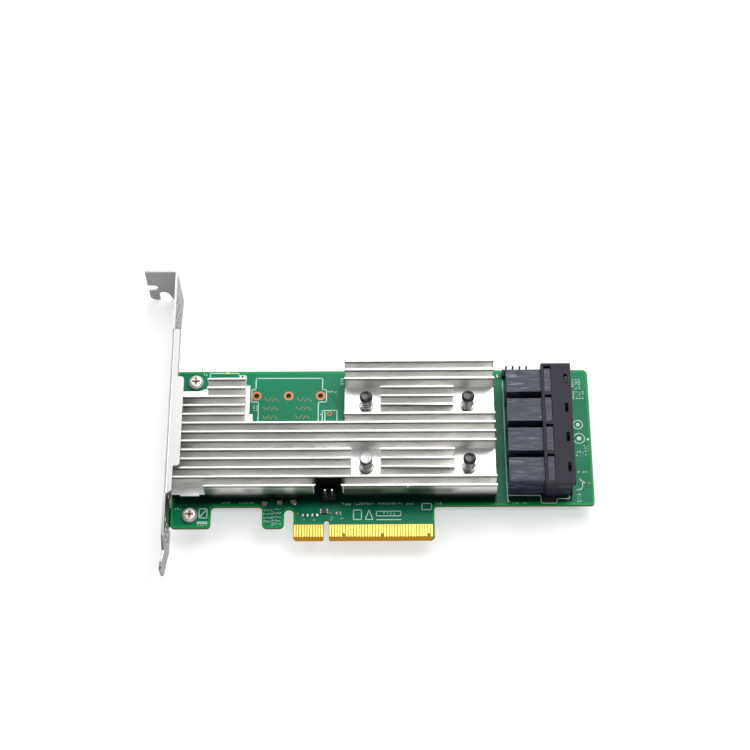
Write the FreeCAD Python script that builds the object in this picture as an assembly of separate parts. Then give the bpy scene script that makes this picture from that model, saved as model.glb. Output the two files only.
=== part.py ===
import FreeCAD, Part
import math
import os

# A storage controller card: a keyed circuit board, one machined heatsink on
# four spring pins, four ganged right-angle ports and a folded bracket.
# Millimetres. +X runs along the card from the bracket to the ports, +Y up the
# card from its gold edge, +Z out of the component face. The origin is on the
# bottom edge of the gold finger, at the middle of its key slot, half way
# through the board.

Vector = FreeCAD.Vector
os.makedirs("parts", exist_ok=True)

# ---------------------------------------------------------------- dimensions

# circuit board
board_length = 155.65
board_height = 68.90
board_thickness = 1.57
key_from_left = 57.15        # middle of the key slot from the left edge
belly_height = 13.40         # lower edge of the board above the gold edge
board_corner = 2.0
belly_corner = 1.2
foot_width = 14.60           # foot that carries the lower bracket screw
foot_bottom = 5.00
foot_corner = 1.5
heel_width = 8.05            # short tab beside the gold finger
heel_bottom = 4.90
heel_corner = 1.8
heel_slot = 3.50             # between heel and finger, with a round top
heel_slot_below_belly = 1.00

# gold finger
contact_pitch = 1.00
contact_width = 0.70
contact_length = 4.65
contact_above_bevel = 0.05
plating = 0.06               # thickness of the gold on the board
short_contacts = 11
long_contacts = 38
key_to_contact = 1.50        # middle of the key to the first contact's middle
finger_end_margin = 0.60     # end contact's middle to the finger's side, by the heel
finger_margin = 1.10         # the same at the far end
finger_corner = 1.00         # lead-in at the finger's ends
key_corner = 0.50            # lead-in at the key
presence_contacts = (5, 19, 36) # past the key, stop short on the component face
presence_short = 1.25
key_width = 1.90
key_height = 8.07
bevel_height = 1.30
bevel_depth = 0.42

# holes for a terminal that isn't fitted
spare_hole_radius = 0.95
spare_hole_count = 3
spare_holes_from_left = 30.20
spare_hole_pitch = 12.10
spare_holes_from_top = 10.40

# ports: bodies behind, shroud in front
port_count = 4
port_pitch = 11.93
port_setback = 7.90          # shroud's front to the board's right edge
ports_from_top = 28.70       # middle of the port row to the board's top edge
port_depth = 23.85
body_width = 9.15
body_height = 12.87
mouth_width = 9.90           # inside of the tube at each mouth
mouth_height = 10.60
mouth_floor = 1.60           # above the board
tube_setback = 1.10          # tube's back ahead of the shroud's back
mouth_wall = 0.35
mouth_recess = 1.35          # tube's front behind the shroud's front
cavity_depth = 7.30
shroud_depth = 11.00
shroud_height = 14.43
shroud_skin = 1.30
shroud_clearance = 0.12      # shroud to each tube
roof_window = (2.70, 10.60)  # over each port: along X, along Y
roof_window_setback = 1.00   # from the shroud's back
window_pad_gap = (0.20, 1.10) # each tube's pad to its window: in front, at the +Y end
window_pad_sink = 0.20       # and below the roof
hood_side = 2.35             # end wall's full thickness reaches this far down
end_wall = 0.93
end_wall_step = 0.50
leg_width = 4.10
leg_setback = 0.75
shroud_foot = (4.80, 1.50, 1.20) # at each leg: along X, out past the hood, height
latch_window = (1.35, 3.80)  # along X, along Y, through shroud and tube
latch_window_setback = 1.38
nose_width = 7.60
nose_height = 8.40
nose_length = 4.30
card_slot_height = 1.30
card_slot_width = 6.90
card_slot_spread = 4.20      # middle of one card slot to the other's

# heatsink
sink_from_left = 0.60
sink_to_ports = 4.40
sink_front_setback = 2.45    # board's lower edge to the front fin
sink_back_setback = 1.47     # board's top edge to the rear fin
base_thickness = 3.00
fin_height = 7.00
fin_count = 15
fin_root = 1.05
fin_tip = 0.85
tall_width = 55.80           # right block, which has all the fins
left_block_right = 26.30     # left block's fins end here, from the sink's left
left_ledge = 1.10            # base stands out this much past those fins
left_ledge_low = 2.40        # and this much on its lower part
left_rows_off = 2            # rear fins missing on the left block
mid_rows_off = 7             # rear fins missing between the blocks
screw_corner_width = 11.40   # corner cut for the upper bracket screw
screw_corner_slope = (2.90, 1.05) # its inner corner, along X and along Y
screw_corner_fins = 3        # fins shortened beside that corner
fin_corner_step = 0.70
lug_width = 12.20            # finless lug at the front left corner
lug_pad = (7.05, 3.20, 0.45) # raised pad on the lug: width, depth, height
lug_pad_setback = 3.15       # from the sink's left
lug_pad_overhang = 0.70      # past the lug's front
lug_pad_drop = 1.00          # and down over it
lug_pad_corner = 1.00
header_notch = 9.00          # front notch for the two-pin header
notch_flare = 0.80
pocket_reach = 5.40          # pocket round each push pin, along X
pocket_rows = 3              # fins cut by each pocket

# what lies under the heatsink
chip_size = 27.0
chip_height = 2.13
chip_step = 2.0
pad_thickness = 0.30
pad_size = 19.0
pin_middle_from_right = 28.80   # middle of the four pins from the sink's right
pin_middle_offset = -2.60       # and from the middle of the sink's depth
inductor_size = (6.6, 6.6, 1.80)
inductor_setback = 12.0      # from the sink's front
regulator_size = (5.0, 5.0, 0.90)
regulator_setback = 21.0
block_count = 3              # of each
block_spacing = 8.0

# push pins and springs
pin_spread_x = 18.90
pin_spread_y = 12.60
pin_shaft_radius = 1.25
pin_head_radius = 2.35
pin_head_height = 2.00
pin_clearance = 0.30
pin_head_bevel = 0.60
barb_width = 3.80            # across the two prongs
barb_length = 2.20
barb_thickness = 1.80
barb_tip = 1.40
barb_slot = 0.60
spring_height = 6.20
spring_wire = 0.56
spring_radius = 1.95         # to the middle of the wire
spring_turns = 2.75
spring_steps = 12            # per turn

# pin headers
header_pitch = 2.54
header_body = 2.54
header_pin = 0.64
header_pin_rise = 8.55       # above the board
header_pin_tail = 1.40       # below the board
header_pin_bevel = 0.10
header_nick = 0.30           # between the ways of a header's body
header_hole_clearance = 0.05
short_header_pins = 2
short_header_setback = 2.75  # from the board's lower edge
long_header_pins = 4
long_header_from_top = 2.25
long_header_from_ports = 0.50

# bracket, one folded sheet
bracket_sheet = 0.86
bracket_gap = 0.39           # board's left edge to the sheet
bracket_rise = 14.215        # bracket's near edge above the component face
bracket_width = 18.42
bracket_length = 120.02
tab_top_y = 105.56
tab_reach = 12.05            # tab's length beyond the sheet
tab_width = 21.59
tab_corner = 1.2
screw_slot_width = 3.70
screw_slot_from_edge = 12.20
screw_slot_depth = 3.90
arch_width = 4.70
arch_from_sheet = 3.60
arch_height = 5.90
shoulder_drop = 4.56         # tab's top to the shoulder
shoulder_length = 11.60
taper_length = 4.15
tongue_length = 6.91
tongue_width = 10.19
tongue_lean = 0.90
tongue_corner = 2.6
lip_low = 12.85
lip_high = 79.90
lip_narrow = 2.85
lip_wide = 5.30
lip_wide_low = 23.70
lip_wide_high = 59.90
lip_corner = 1.2
lip_chamfer = 1.7
lug_reach = 11.0             # bracket lug under the board
bracket_lug_width = 7.40
bracket_lug_corner = 1.20
relief_width = 1.20
fold_flat = 0.80             # sheet left upright beside each fold
vent_size = 2.50             # across flats
vent_pitch = 5.90
vent_row_pitch = 2.50
vent_rows = 5
vent_first_row = 2.80        # from the bracket's near edge
vent_above_lug = 0.70        # first vents above the lower lug's notch
vent_below_tab = 8.50
vent_patch_start = 1.80      # small patch, from the taper's end
vent_patch_length = 6.10

# bracket screws
screw_from_left = 7.00
lower_screw_y = 9.80
upper_screw_from_top = 4.90
screw_head_radius = 2.80
screw_head_height = 1.90
screw_head_bevel = 0.80
screw_radius = 1.45
screw_hole_clearance = 0.17
thread_clearance = 0.02
screw_length = 4.40
recess_width = 0.85
recess_length = 3.10
recess_depth = 1.10

# small parts on the board: from the key's middle, from the belly edge
capacitor_size = (2.0, 1.25, 1.0)
capacitor_end = 0.42
front_capacitors = ((-22.75, 0.85), (-17.25, 1.20), (-12.25, 1.45))
small_part_size = (1.6, 0.8, 0.5)
finger_resistors = ((-7.75, -3.60), (-4.25, -3.60))
sensor_size = (2.0, 2.2, 0.85)
sensor_place = (-0.90, -2.00)
led_size = (1.6, 0.8, 0.65)
led_from_left = 19.0
led_from_top = 0.95
resistor_from_left = 24.6
resistor_from_top = 2.60

# ------------------------------------------------------------ derived values

board_top = board_thickness / 2
board_bottom = -board_thickness / 2
board_left = -key_from_left
board_right = board_left + board_length

finger_left = -(key_to_contact + (short_contacts - 1) * contact_pitch + finger_end_margin)
finger_right = key_to_contact + (long_contacts - 1) * contact_pitch + finger_margin
heel_right = finger_left - heel_slot
heel_left = heel_right - heel_width

shroud_front = board_right - port_setback
shroud_back = shroud_front - shroud_depth
tube_back = shroud_back + tube_setback
window_back = shroud_back + roof_window_setback
latch_back = shroud_front - latch_window_setback - latch_window[0]
port_back = shroud_front - port_depth
mouth_front = shroud_front - mouth_recess
cavity_back = mouth_front - cavity_depth
ports_middle = board_height - ports_from_top
port_rows = [ports_middle + (i - (port_count - 1) / 2) * port_pitch
             for i in reversed(range(port_count))]
tube_half = mouth_width / 2 + mouth_wall
shroud_half = (port_count - 1) / 2 * port_pitch + tube_half + shroud_clearance + end_wall
tube_top = board_top + shroud_height - shroud_skin - shroud_clearance
mouth_low = board_top + mouth_floor
mouth_high = mouth_low + mouth_height
nose_middle = (mouth_low + mouth_high) / 2

sink_left = board_left + sink_from_left
sink_right = port_back - sink_to_ports
sink_front = belly_height + sink_front_setback
sink_back = board_height - sink_back_setback
base_bottom = board_top + chip_height + pad_thickness
base_top = base_bottom + base_thickness
fin_top = base_top + fin_height
fin_pitch = (sink_back - sink_front - fin_root) / (fin_count - 1)
tall_left = sink_right - tall_width
left_fins_right = sink_left + left_block_right

pin_middle_x = sink_right - pin_middle_from_right
pin_middle_y = (sink_front + sink_back) / 2 + pin_middle_offset
pin_places = [(pin_middle_x + sx * pin_spread_x, pin_middle_y + sy * pin_spread_y)
              for sy in (1, -1) for sx in (-1, 1)]

notch_middle = 0.95          # front notch and its header, from the key's middle
short_header_y = belly_height + short_header_setback
long_header_y = board_height - long_header_from_top
long_header_x = port_back + long_header_from_ports + header_pitch * (long_header_pins - 1) / 2

sheet_inner = board_left - bracket_gap
sheet_outer = sheet_inner - bracket_sheet
bend_inner = 0.9 * bracket_gap
bend_outer = bend_inner + bracket_sheet
near_edge = board_top + bracket_rise
far_edge = near_edge - bracket_width
tab_far_edge = near_edge - tab_width
tab_under = tab_top_y - bracket_sheet
tongue_tip = tab_top_y - bracket_length
tongue_start = tongue_tip + tongue_length
taper_start = tongue_start + taper_length
shoulder_high = tab_top_y - shoulder_drop
shoulder_low = shoulder_high - shoulder_length
tongue_near = near_edge - (bracket_width - tongue_width) / 2
lug_top = board_bottom
lug_bottom = lug_top - bracket_sheet

screw_x = board_left + screw_from_left
screw_rows = [lower_screw_y, board_height - upper_screw_from_top]


# ------------------------------------------------------------------- helpers

def box(x0, x1, y0, y1, z0, z1):
    return Part.makeBox(x1 - x0, y1 - y0, z1 - z0, Vector(x0, y0, z0))


def rod(x, y, z0, z1, radius):
    return Part.makeCylinder(radius, z1 - z0, Vector(x, y, z0), Vector(0, 0, 1))


def outline(corners, place):
    """A closed face from (u, v, radius) corners, each rounded by its radius."""
    edges, previous, first = [], None, None
    count = len(corners)
    for i, (u, v, radius) in enumerate(corners):
        here = Vector(u, v, 0)
        back = Vector(*corners[i - 1][:2], 0) - here
        ahead = Vector(*corners[(i + 1) % count][:2], 0) - here
        if radius > 0:
            half = back.getAngle(ahead) / 2
            reach = radius / math.tan(half)
            start = here + back.normalize() * reach
            end = here + ahead.normalize() * reach
            middle_way = (back + ahead).normalize()
            middle = here + middle_way * (radius / math.sin(half) - radius)
        else:
            start = end = here
        points = [place(p.x, p.y) for p in (start, end)]
        if previous is not None and previous.distanceToPoint(points[0]) > 1e-6:
            edges.append(Part.LineSegment(previous, points[0]).toShape())
        if radius > 0:
            edges.append(Part.Arc(points[0], place(middle.x, middle.y), points[1]).toShape())
        first = first or points[0]
        previous = points[1]
    if previous.distanceToPoint(first) > 1e-6:
        edges.append(Part.LineSegment(previous, first).toShape())
    return Part.Face(Part.Wire(edges))


def on_xy(z):
    return lambda u, v: Vector(u, v, z)


def on_xz(y):
    return lambda u, v: Vector(u, y, v)


def on_yz(x):
    return lambda u, v: Vector(x, u, v)


def turned(profile, x, y):
    """A solid of revolution about the upright axis through (x, y)."""
    points = [Vector(x + r, y, z) for r, z in profile]
    face = Part.Face(Part.makePolygon(points + points[:1]))
    return face.revolve(Vector(x, y, 0), Vector(0, 0, 1), 360)


def cut_all(shape, tools):
    return shape.cut(Part.makeCompound(tools)) if tools else shape


def save(name, shapes):
    shape = shapes if isinstance(shapes, Part.Shape) else Part.makeCompound(shapes)
    shape.exportStep("parts/" + name + ".step")
    print(name, len(shape.Solids), "solids", shape.isValid(), round(shape.Volume, 2))


# ------------------------------------------------------------- circuit board

def header_places(count, x, y):
    return [(x + (i - (count - 1) / 2) * header_pitch, y) for i in range(count)]


short_header_places = header_places(short_header_pins, notch_middle, short_header_y)
long_header_places = header_places(long_header_pins, long_header_x, long_header_y)
spare_holes = [(board_left + spare_holes_from_left + i * spare_hole_pitch,
                board_height - spare_holes_from_top) for i in range(spare_hole_count)]


def circuit_board():
    slot_top = belly_height - heel_slot_below_belly
    corners = [
        (board_left, foot_bottom, foot_corner),
        (board_left + foot_width, foot_bottom, foot_corner),
        (board_left + foot_width, belly_height, foot_corner),
        (heel_left, belly_height, foot_corner),
        (heel_left, heel_bottom, heel_corner),
        (heel_right, heel_bottom, heel_corner),
        (heel_right, slot_top, 0.49 * heel_slot),
        (finger_left, slot_top, 0.49 * heel_slot),
        (finger_left, finger_corner, 0),
        (finger_left + finger_corner, 0, 0),
        (-key_width / 2 - key_corner, 0, 0),
        (-key_width / 2, key_corner, 0),
        (-key_width / 2, key_height, 0.49 * key_width),
        (key_width / 2, key_height, 0.49 * key_width),
        (key_width / 2, key_corner, 0),
        (key_width / 2 + key_corner, 0, 0),
        (finger_right - finger_corner, 0, 0),
        (finger_right, finger_corner, 0),
        (finger_right, belly_height, belly_corner),
        (board_right, belly_height, belly_corner),
        (board_right, board_height, board_corner),
        (board_left, board_height, 0),
    ]
    board = outline(corners, on_xy(board_bottom)).extrude(Vector(0, 0, board_thickness))
    bevels = []
    for side in (1, -1):
        z = side * board_top
        wedge = outline([(-0.1, z, 0), (bevel_height, z, 0), (-0.1, z - side * bevel_depth, 0)],
                        on_yz(finger_left - 1))
        bevels.append(wedge.extrude(Vector(finger_right - finger_left + 2, 0, 0)))
    holes = [(screw_x, y, screw_radius + screw_hole_clearance) for y in screw_rows]
    holes += [(x, y, pin_shaft_radius + pin_clearance) for x, y in pin_places]
    holes += [(x, y, spare_hole_radius) for x, y in spare_holes]
    drills = [rod(x, y, board_bottom - 1, board_top + 1, r) for x, y, r in holes]
    half = header_pin / 2 + header_hole_clearance
    drills += [box(x - half, x + half, y - half, y + half, board_bottom - 1, board_top + 1)
               for x, y in short_header_places + long_header_places]
    return cut_all(board, bevels + drills)


def edge_contacts():
    """Gold on both faces; the contacts that sense the card stop short."""
    left = [-key_to_contact - i * contact_pitch for i in range(short_contacts)]
    right = [key_to_contact + i * contact_pitch for i in range(long_contacts)]
    front_late = [right[i] for i in presence_contacts]
    back_late = [left[-1]]
    half = contact_width / 2
    low = bevel_height + contact_above_bevel
    top = low + contact_length
    contacts = []
    for z, late in ((board_top, front_late), (board_bottom - plating, back_late)):
        for x in left + right:
            start = low + presence_short if x in late else low
            contacts.append(box(x - half, x + half, start, top, z, z + plating))
    return contacts


# ------------------------------------------------------------------ heatsink

def fin_row(i):
    """Middle of a fin's thickness; fin 0 is the rear one."""
    return sink_back - fin_root / 2 - i * fin_pitch


def comb_profile():
    """Base and fins in section, as the extrusion leaves its die."""
    points = [(sink_front, base_bottom), (sink_back, base_bottom), (sink_back, base_top)]
    for i in range(fin_count):
        y = fin_row(i)
        points += [(y + fin_root / 2, base_top), (y + fin_tip / 2, fin_top),
                   (y - fin_tip / 2, fin_top), (y - fin_root / 2, base_top)]
    points = [p for n, p in enumerate(points) if n == 0 or p != points[n - 1]]
    spots = [Vector(sink_left, y, z) for y, z in points]
    return Part.Face(Part.makePolygon(spots + spots[:1]))


def heatsink():
    sink = comb_profile().extrude(Vector(sink_right - sink_left, 0, 0))
    low, high = base_bottom - 1, fin_top + 1
    half_root = fin_root / 2
    left_back = fin_row(left_rows_off) + half_root
    mid_back = fin_row(mid_rows_off) + half_root
    corner_front = fin_row(left_rows_off + screw_corner_fins) + half_root
    corner_middle = left_back - 0.6 * fin_pitch
    corner_right = sink_left + screw_corner_width
    ledge_step = fin_row(left_rows_off + screw_corner_fins) - half_root
    beyond = sink_back + 1
    low_edge = left_fins_right + left_ledge_low
    cuts = [
        # open board between the two blocks, with the base's stepped ledge
        box(low_edge, tall_left, mid_back, beyond, low, high),
        box(left_fins_right + left_ledge, low_edge + 1, ledge_step, beyond, low, high),
        box(left_fins_right, tall_left, mid_back, beyond, base_top, high),
        box(sink_left - 1, tall_left, left_back, beyond, low, high),
        # corner round the upper bracket screw
        outline([
            (sink_left - 1, corner_middle, 0),
            (corner_right - screw_corner_slope[0], corner_middle, 0),
            (corner_right, corner_middle + screw_corner_slope[1], 0),
            (corner_right, beyond, 0),
            (sink_left - 1, beyond, 0),
        ], on_xy(low)).extrude(Vector(0, 0, high - low)),
        box(sink_left - 1, corner_right + fin_corner_step, corner_front, beyond, base_top, high),
        # finless lug at the front left
        box(sink_left - 1, sink_left + lug_width, sink_front - 1,
            fin_row(fin_count - 2) - half_root, base_top, high),
    ]
    for x, y in pin_places:
        reach = pocket_reach
        half = pocket_rows / 2 * fin_pitch - 0.05
        middle = min((fin_row(i) for i in range(fin_count)), key=lambda row: abs(row - y))
        right_side = x > pin_middle_x
        upper = y > pin_middle_y
        x0 = tall_left - 1 if upper and not right_side else x - reach
        x1 = sink_right + 1 if right_side else x + reach
        cuts.append(box(x0, x1, middle - half, middle + half, base_top, high))
        cuts.append(rod(x, y, low, high, pin_shaft_radius + pin_clearance))
    notch_back = fin_row(fin_count - 2) - half_root
    half = header_notch / 2
    notch = outline([
        (notch_middle - half - notch_flare, sink_front - 1, 0),
        (notch_middle + half + notch_flare, sink_front - 1, 0),
        (notch_middle + half + notch_flare, sink_front, 0),
        (notch_middle + half, sink_front + notch_flare, 0),
        (notch_middle + half, notch_back, 0),
        (notch_middle - half, notch_back, 0),
        (notch_middle - half, sink_front + notch_flare, 0),
        (notch_middle - half - notch_flare, sink_front, 0),
    ], on_xy(low))
    cuts.append(notch.extrude(Vector(0, 0, high - low)))
    sink = cut_all(sink, cuts)
    width, depth, height = lug_pad
    pad_left = sink_left + lug_pad_setback
    pad_right = pad_left + width
    pad_front = sink_front - lug_pad_overhang
    pad_back = pad_front + depth
    pad = outline([
        (pad_left, pad_front, 0),
        (pad_right, pad_front, 0),
        (pad_right, pad_back - lug_pad_corner, 0),
        (pad_right - lug_pad_corner, pad_back, 0),
        (pad_left + lug_pad_corner, pad_back, 0),
        (pad_left, pad_back - lug_pad_corner, 0),
    ], on_xy(base_top - lug_pad_drop)).extrude(Vector(0, 0, height + lug_pad_drop))
    return sink.fuse(pad).removeSplitter()


def controller_chip():
    half, inner = chip_size / 2, chip_size / 2 - chip_step
    x, y = pin_middle_x, pin_middle_y
    top = board_top + chip_height
    step = board_top + 0.4 * chip_height
    package = box(x - half, x + half, y - half, y + half, board_top, step)
    cap = box(x - inner, x + inner, y - inner, y + inner, step, top)
    return package.fuse(cap)


def thermal_pad():
    half = pad_size / 2
    x, y = pin_middle_x, pin_middle_y
    return box(x - half, x + half, y - half, y + half, board_top + chip_height, base_bottom)


def blocks_under_left_fins(size, setback):
    """Like parts side by side on the board, under the heatsink's left block."""
    dx, dy, dz = size
    middle = (sink_left + left_fins_right) / 2
    y = sink_front + setback
    blocks = []
    for i in range(block_count):
        x = middle + (i - (block_count - 1) / 2) * block_spacing
        blocks.append(box(x - dx / 2, x + dx / 2, y - dy / 2, y + dy / 2,
                          board_top, board_top + dz))
    return blocks


# ---------------------------------------------------------- push pins, springs

def push_pin(x, y):
    head_low = base_top + spring_height
    head_top = head_low + pin_head_height
    r, shaft, bevel = pin_head_radius, pin_shaft_radius, pin_head_bevel
    profile = [(0, board_bottom), (shaft, board_bottom), (shaft, head_low), (r, head_low),
               (r, head_top - bevel), (r - bevel, head_top), (0, head_top)]
    tip = board_bottom - barb_length
    prongs = outline([
        (x - barb_tip / 2, tip, 0), (x + barb_tip / 2, tip, 0),
        (x + barb_width / 2, board_bottom, 0), (x - barb_width / 2, board_bottom, 0),
    ], on_xz(y - barb_thickness / 2)).extrude(Vector(0, barb_thickness, 0))
    half = barb_slot / 2
    slit = box(x - half, x + half, y - shaft, y + shaft, tip - 1, board_bottom)
    return turned(profile, x, y).fuse(prongs.cut(slit))


def spring(x, y):
    """Open coil between the heatsink's base and the head of its pin."""
    rise = spring_height - spring_wire
    steps = round(spring_turns * spring_steps)
    half = spring_wire / 2
    rings = []
    for i in range(steps + 1):
        angle = 2 * math.pi * spring_turns * i / steps
        middle = base_top + half + rise * i / steps
        ring = [Vector(x + (spring_radius + dr) * math.cos(angle),
                       y + (spring_radius + dr) * math.sin(angle), middle + dz)
                for dr, dz in ((half, half), (-half, half), (-half, -half), (half, -half))]
        rings.append(Part.makePolygon(ring + ring[:1]))
    return Part.makeLoft(rings, True, True)


# --------------------------------------------------------------------- ports

def port_body(y):
    """Moulded body: plain block behind, tube with a two-slot nose in front.

    A pad on the tube fills the shroud's roof window, and a slot takes the plug's latch.
    """
    half = body_width / 2
    block = box(port_back, tube_back, y - half, y + half, board_top, board_top + body_height)
    tube = box(tube_back, mouth_front, y - tube_half, y + tube_half, board_top, tube_top)
    cavity = box(cavity_back, mouth_front + 1, y - mouth_width / 2, y + mouth_width / 2,
                 mouth_low, mouth_high)
    nose = box(cavity_back, cavity_back + nose_length, y - nose_width / 2, y + nose_width / 2,
               nose_middle - nose_height / 2, nose_middle + nose_height / 2)
    slots = []
    for side in (1, -1):
        z = nose_middle + side * card_slot_spread / 2
        slots.append(box(cavity_back - 1, cavity_back + nose_length + 1,
                         y - card_slot_width / 2, y + card_slot_width / 2,
                         z - card_slot_height / 2, z + card_slot_height / 2))
    window_half = roof_window[1] / 2
    pad = box(window_back + shroud_clearance, window_back + roof_window[0] - window_pad_gap[0],
              y - window_half + shroud_clearance, y + window_half - window_pad_gap[1],
              tube_top, board_top + shroud_height - window_pad_sink)
    latch_half = latch_window[1] / 2
    slots.append(box(latch_back, latch_back + latch_window[0], y - latch_half, y + latch_half,
                     mouth_high - mouth_wall, tube_top + 1))
    shell = block.fuse(tube).cut(cavity)
    return cut_all(shell.fuse(nose).fuse(pad), slots).removeSplitter()


def port_shroud():
    """One moulding that gangs the tubes: a roof with two windows a port, and walls."""
    low, high = ports_middle - shroud_half, ports_middle + shroud_half
    top = board_top + shroud_height
    shroud = box(shroud_back, shroud_front, low, high, board_top, top)
    reach = tube_half + shroud_clearance
    behind = body_width / 2 + shroud_clearance
    roof = top - shroud_skin
    cuts = []
    for y in port_rows:
        # room for the tube and for the narrower block behind it
        cuts.append(box(tube_back - shroud_clearance, shroud_front + 1, y - reach, y + reach,
                        board_top - 1, roof))
        cuts.append(box(shroud_back - 1, tube_back, y - behind, y + behind, board_top - 1,
                        board_top + body_height + shroud_clearance))
        for size, x0 in ((roof_window, window_back), (latch_window, latch_back)):
            cuts.append(box(x0, x0 + size[0], y - size[1] / 2, y + size[1] / 2, roof - 1, top + 1))
    side_low = top - hood_side
    leg_back = shroud_back + leg_setback
    for wall, way in ((low, 1), (high, -1)):
        # below the hood each end wall steps in and keeps only its leg
        step = sorted((wall - way, wall + way * end_wall_step))
        whole = sorted((wall - way, wall + way * (end_wall + shroud_clearance / 2)))
        cuts.append(box(shroud_back - 1, shroud_front + 1, *step, board_top - 1, side_low))
        cuts.append(box(shroud_back - 1, leg_back, *whole, board_top - 1, side_low))
        cuts.append(box(leg_back + leg_width, shroud_front + 1, *whole, board_top - 1, side_low))
    shroud = cut_all(shroud, cuts)
    for wall, way in ((low, 1), (high, -1)):
        sides = sorted((wall - way * shroud_foot[1], wall + way * end_wall))
        shroud = shroud.fuse(box(shroud_back, shroud_back + shroud_foot[0], *sides,
                                 board_top, board_top + shroud_foot[2]))
    return shroud.removeSplitter()


# ------------------------------------------------------------------- headers

def header_bodies(places):
    x0, x1 = places[0][0] - header_pitch / 2, places[-1][0] + header_pitch / 2
    y = places[0][1]
    half = header_body / 2
    body = box(x0, x1, y - half, y + half, board_top, board_top + header_body)
    cuts = [box(x - header_pin / 2, x + header_pin / 2, y - header_pin / 2, y + header_pin / 2,
                board_top - 1, board_top + header_body + 1) for x, y in places]
    for a, b in zip(places, places[1:]):
        middle = (a[0] + b[0]) / 2
        for side in (1, -1):
            edge = y + side * half
            nick = outline([(middle - header_nick, edge, 0), (middle + header_nick, edge, 0),
                            (middle, edge - side * header_nick, 0)], on_xy(board_top))
            cuts.append(nick.extrude(Vector(0, 0, header_body)))
    return cut_all(body, cuts)


def header_pins(places):
    pins = []
    half = header_pin / 2
    for x, y in places:
        pin = box(x - half, x + half, y - half, y + half,
                  board_bottom - header_pin_tail, board_top + header_pin_rise)
        tip = [e for e in pin.Edges if e.BoundBox.ZMin > board_top + header_body]
        pins.append(pin.makeChamfer(header_pin_bevel, tip))
    return pins


# ------------------------------------------------------------------- bracket

def bracket_section():
    """The sheet seen along Z: tab, upright and leaning tongue."""
    tab_end = sheet_outer - tab_reach
    return outline([
        (sheet_inner, tongue_start, 0),
        (sheet_inner, tab_top_y, bend_outer),
        (tab_end, tab_top_y, 0),
        (tab_end, tab_under, 0),
        (sheet_outer, tab_under, bend_inner),
        (sheet_outer, tongue_start, 0),
        (sheet_outer - tongue_lean, tongue_tip, 0),
        (sheet_inner - tongue_lean, tongue_tip, 0),
    ], on_xy(tab_far_edge)).extrude(Vector(0, 0, tab_width))


def bracket_face():
    """The sheet seen along X: shoulder, straight run, taper and tongue."""
    tongue_far = tongue_near - tongue_width
    return outline([
        (tab_top_y + 1, near_edge, 0),
        (taper_start, near_edge, 0),
        (tongue_start, tongue_near, 0),
        (tongue_tip, tongue_near, tongue_corner),
        (tongue_tip, tongue_far, tongue_corner),
        (tongue_start, tongue_far, 0),
        (taper_start, far_edge, 0),
        (shoulder_low, far_edge, 0),
        (shoulder_high, tab_far_edge, 0),
        (tab_top_y + 1, tab_far_edge, 0),
    ], on_yz(sheet_outer - tab_reach - 1)).extrude(Vector(tab_reach + 10, 0, 0))


def tab_cuts():
    """Open screw slot, arched relief and rounded corners of the tab."""
    tab_end = sheet_outer - tab_reach
    low = tab_under - 1
    up = Vector(0, bracket_sheet + 2, 0)
    slot_z = near_edge - screw_slot_from_edge
    half = screw_slot_width / 2
    slot_end = tab_end + screw_slot_depth
    slot = outline([
        (tab_end - 1, slot_z - half, 0), (tab_end - 1, slot_z + half, 0),
        (slot_end, slot_z + half, 0.98 * half), (slot_end, slot_z - half, 0.98 * half),
    ], on_xz(low)).extrude(up)
    arch_right = sheet_outer - arch_from_sheet
    arch_left = arch_right - arch_width
    arch_top = tab_far_edge + arch_height
    arch = outline([
        (arch_left, tab_far_edge - 1, 0),
        (arch_left, arch_top, 0.35 * arch_width),
        (arch_right - 0.25 * arch_width, arch_top, 0.45 * arch_width),
        (arch_right + 0.1 * arch_width, tab_far_edge, 0),
        (arch_right + 0.1 * arch_width, tab_far_edge - 1, 0),
    ], on_xz(low)).extrude(up)
    corners = []
    for z, way, radius in ((near_edge, -1, tab_corner), (tab_far_edge, 1, 2.2 * tab_corner)):
        square = box(tab_end - 1, tab_end + radius, low, low + up.y,
                     min(z, z + way * radius) - (way > 0), max(z, z + way * radius) + (way < 0))
        disc = Part.makeCylinder(radius, up.y, Vector(tab_end + radius, low, z + way * radius),
                                 Vector(0, 1, 0))
        corners.append(square.cut(disc))
    return [slot, arch] + corners


def folded_lip():
    """Edge folded in over the heatsink's left end."""
    depth = bend_outer + fold_flat
    reach = sheet_outer + lip_wide
    profile = outline([
        (sheet_inner, near_edge - depth, 0),
        (sheet_inner, near_edge - bracket_sheet, bend_inner),
        (reach, near_edge - bracket_sheet, 0),
        (reach, near_edge, 0),
        (sheet_outer, near_edge, bend_outer),
        (sheet_outer, near_edge - depth, 0),
    ], on_xz(lip_low))
    lip = profile.extrude(Vector(0, lip_high - lip_low, 0))
    narrow = sheet_outer + lip_narrow
    plan = outline([
        (sheet_outer - 1, lip_low, 0),
        (narrow - lip_chamfer, lip_low, 0),
        (narrow, lip_low + 0.7 * lip_chamfer, 0),
        (narrow, lip_wide_low, 0),
        (reach, lip_wide_low, lip_corner),
        (reach, lip_wide_high, lip_corner),
        (narrow, lip_wide_high, 0),
        (narrow, lip_high, 0),
        (sheet_outer - 1, lip_high, 0),
    ], on_xy(near_edge - depth - 1)).extrude(Vector(0, 0, depth + 2))
    return lip.common(plan)


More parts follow.
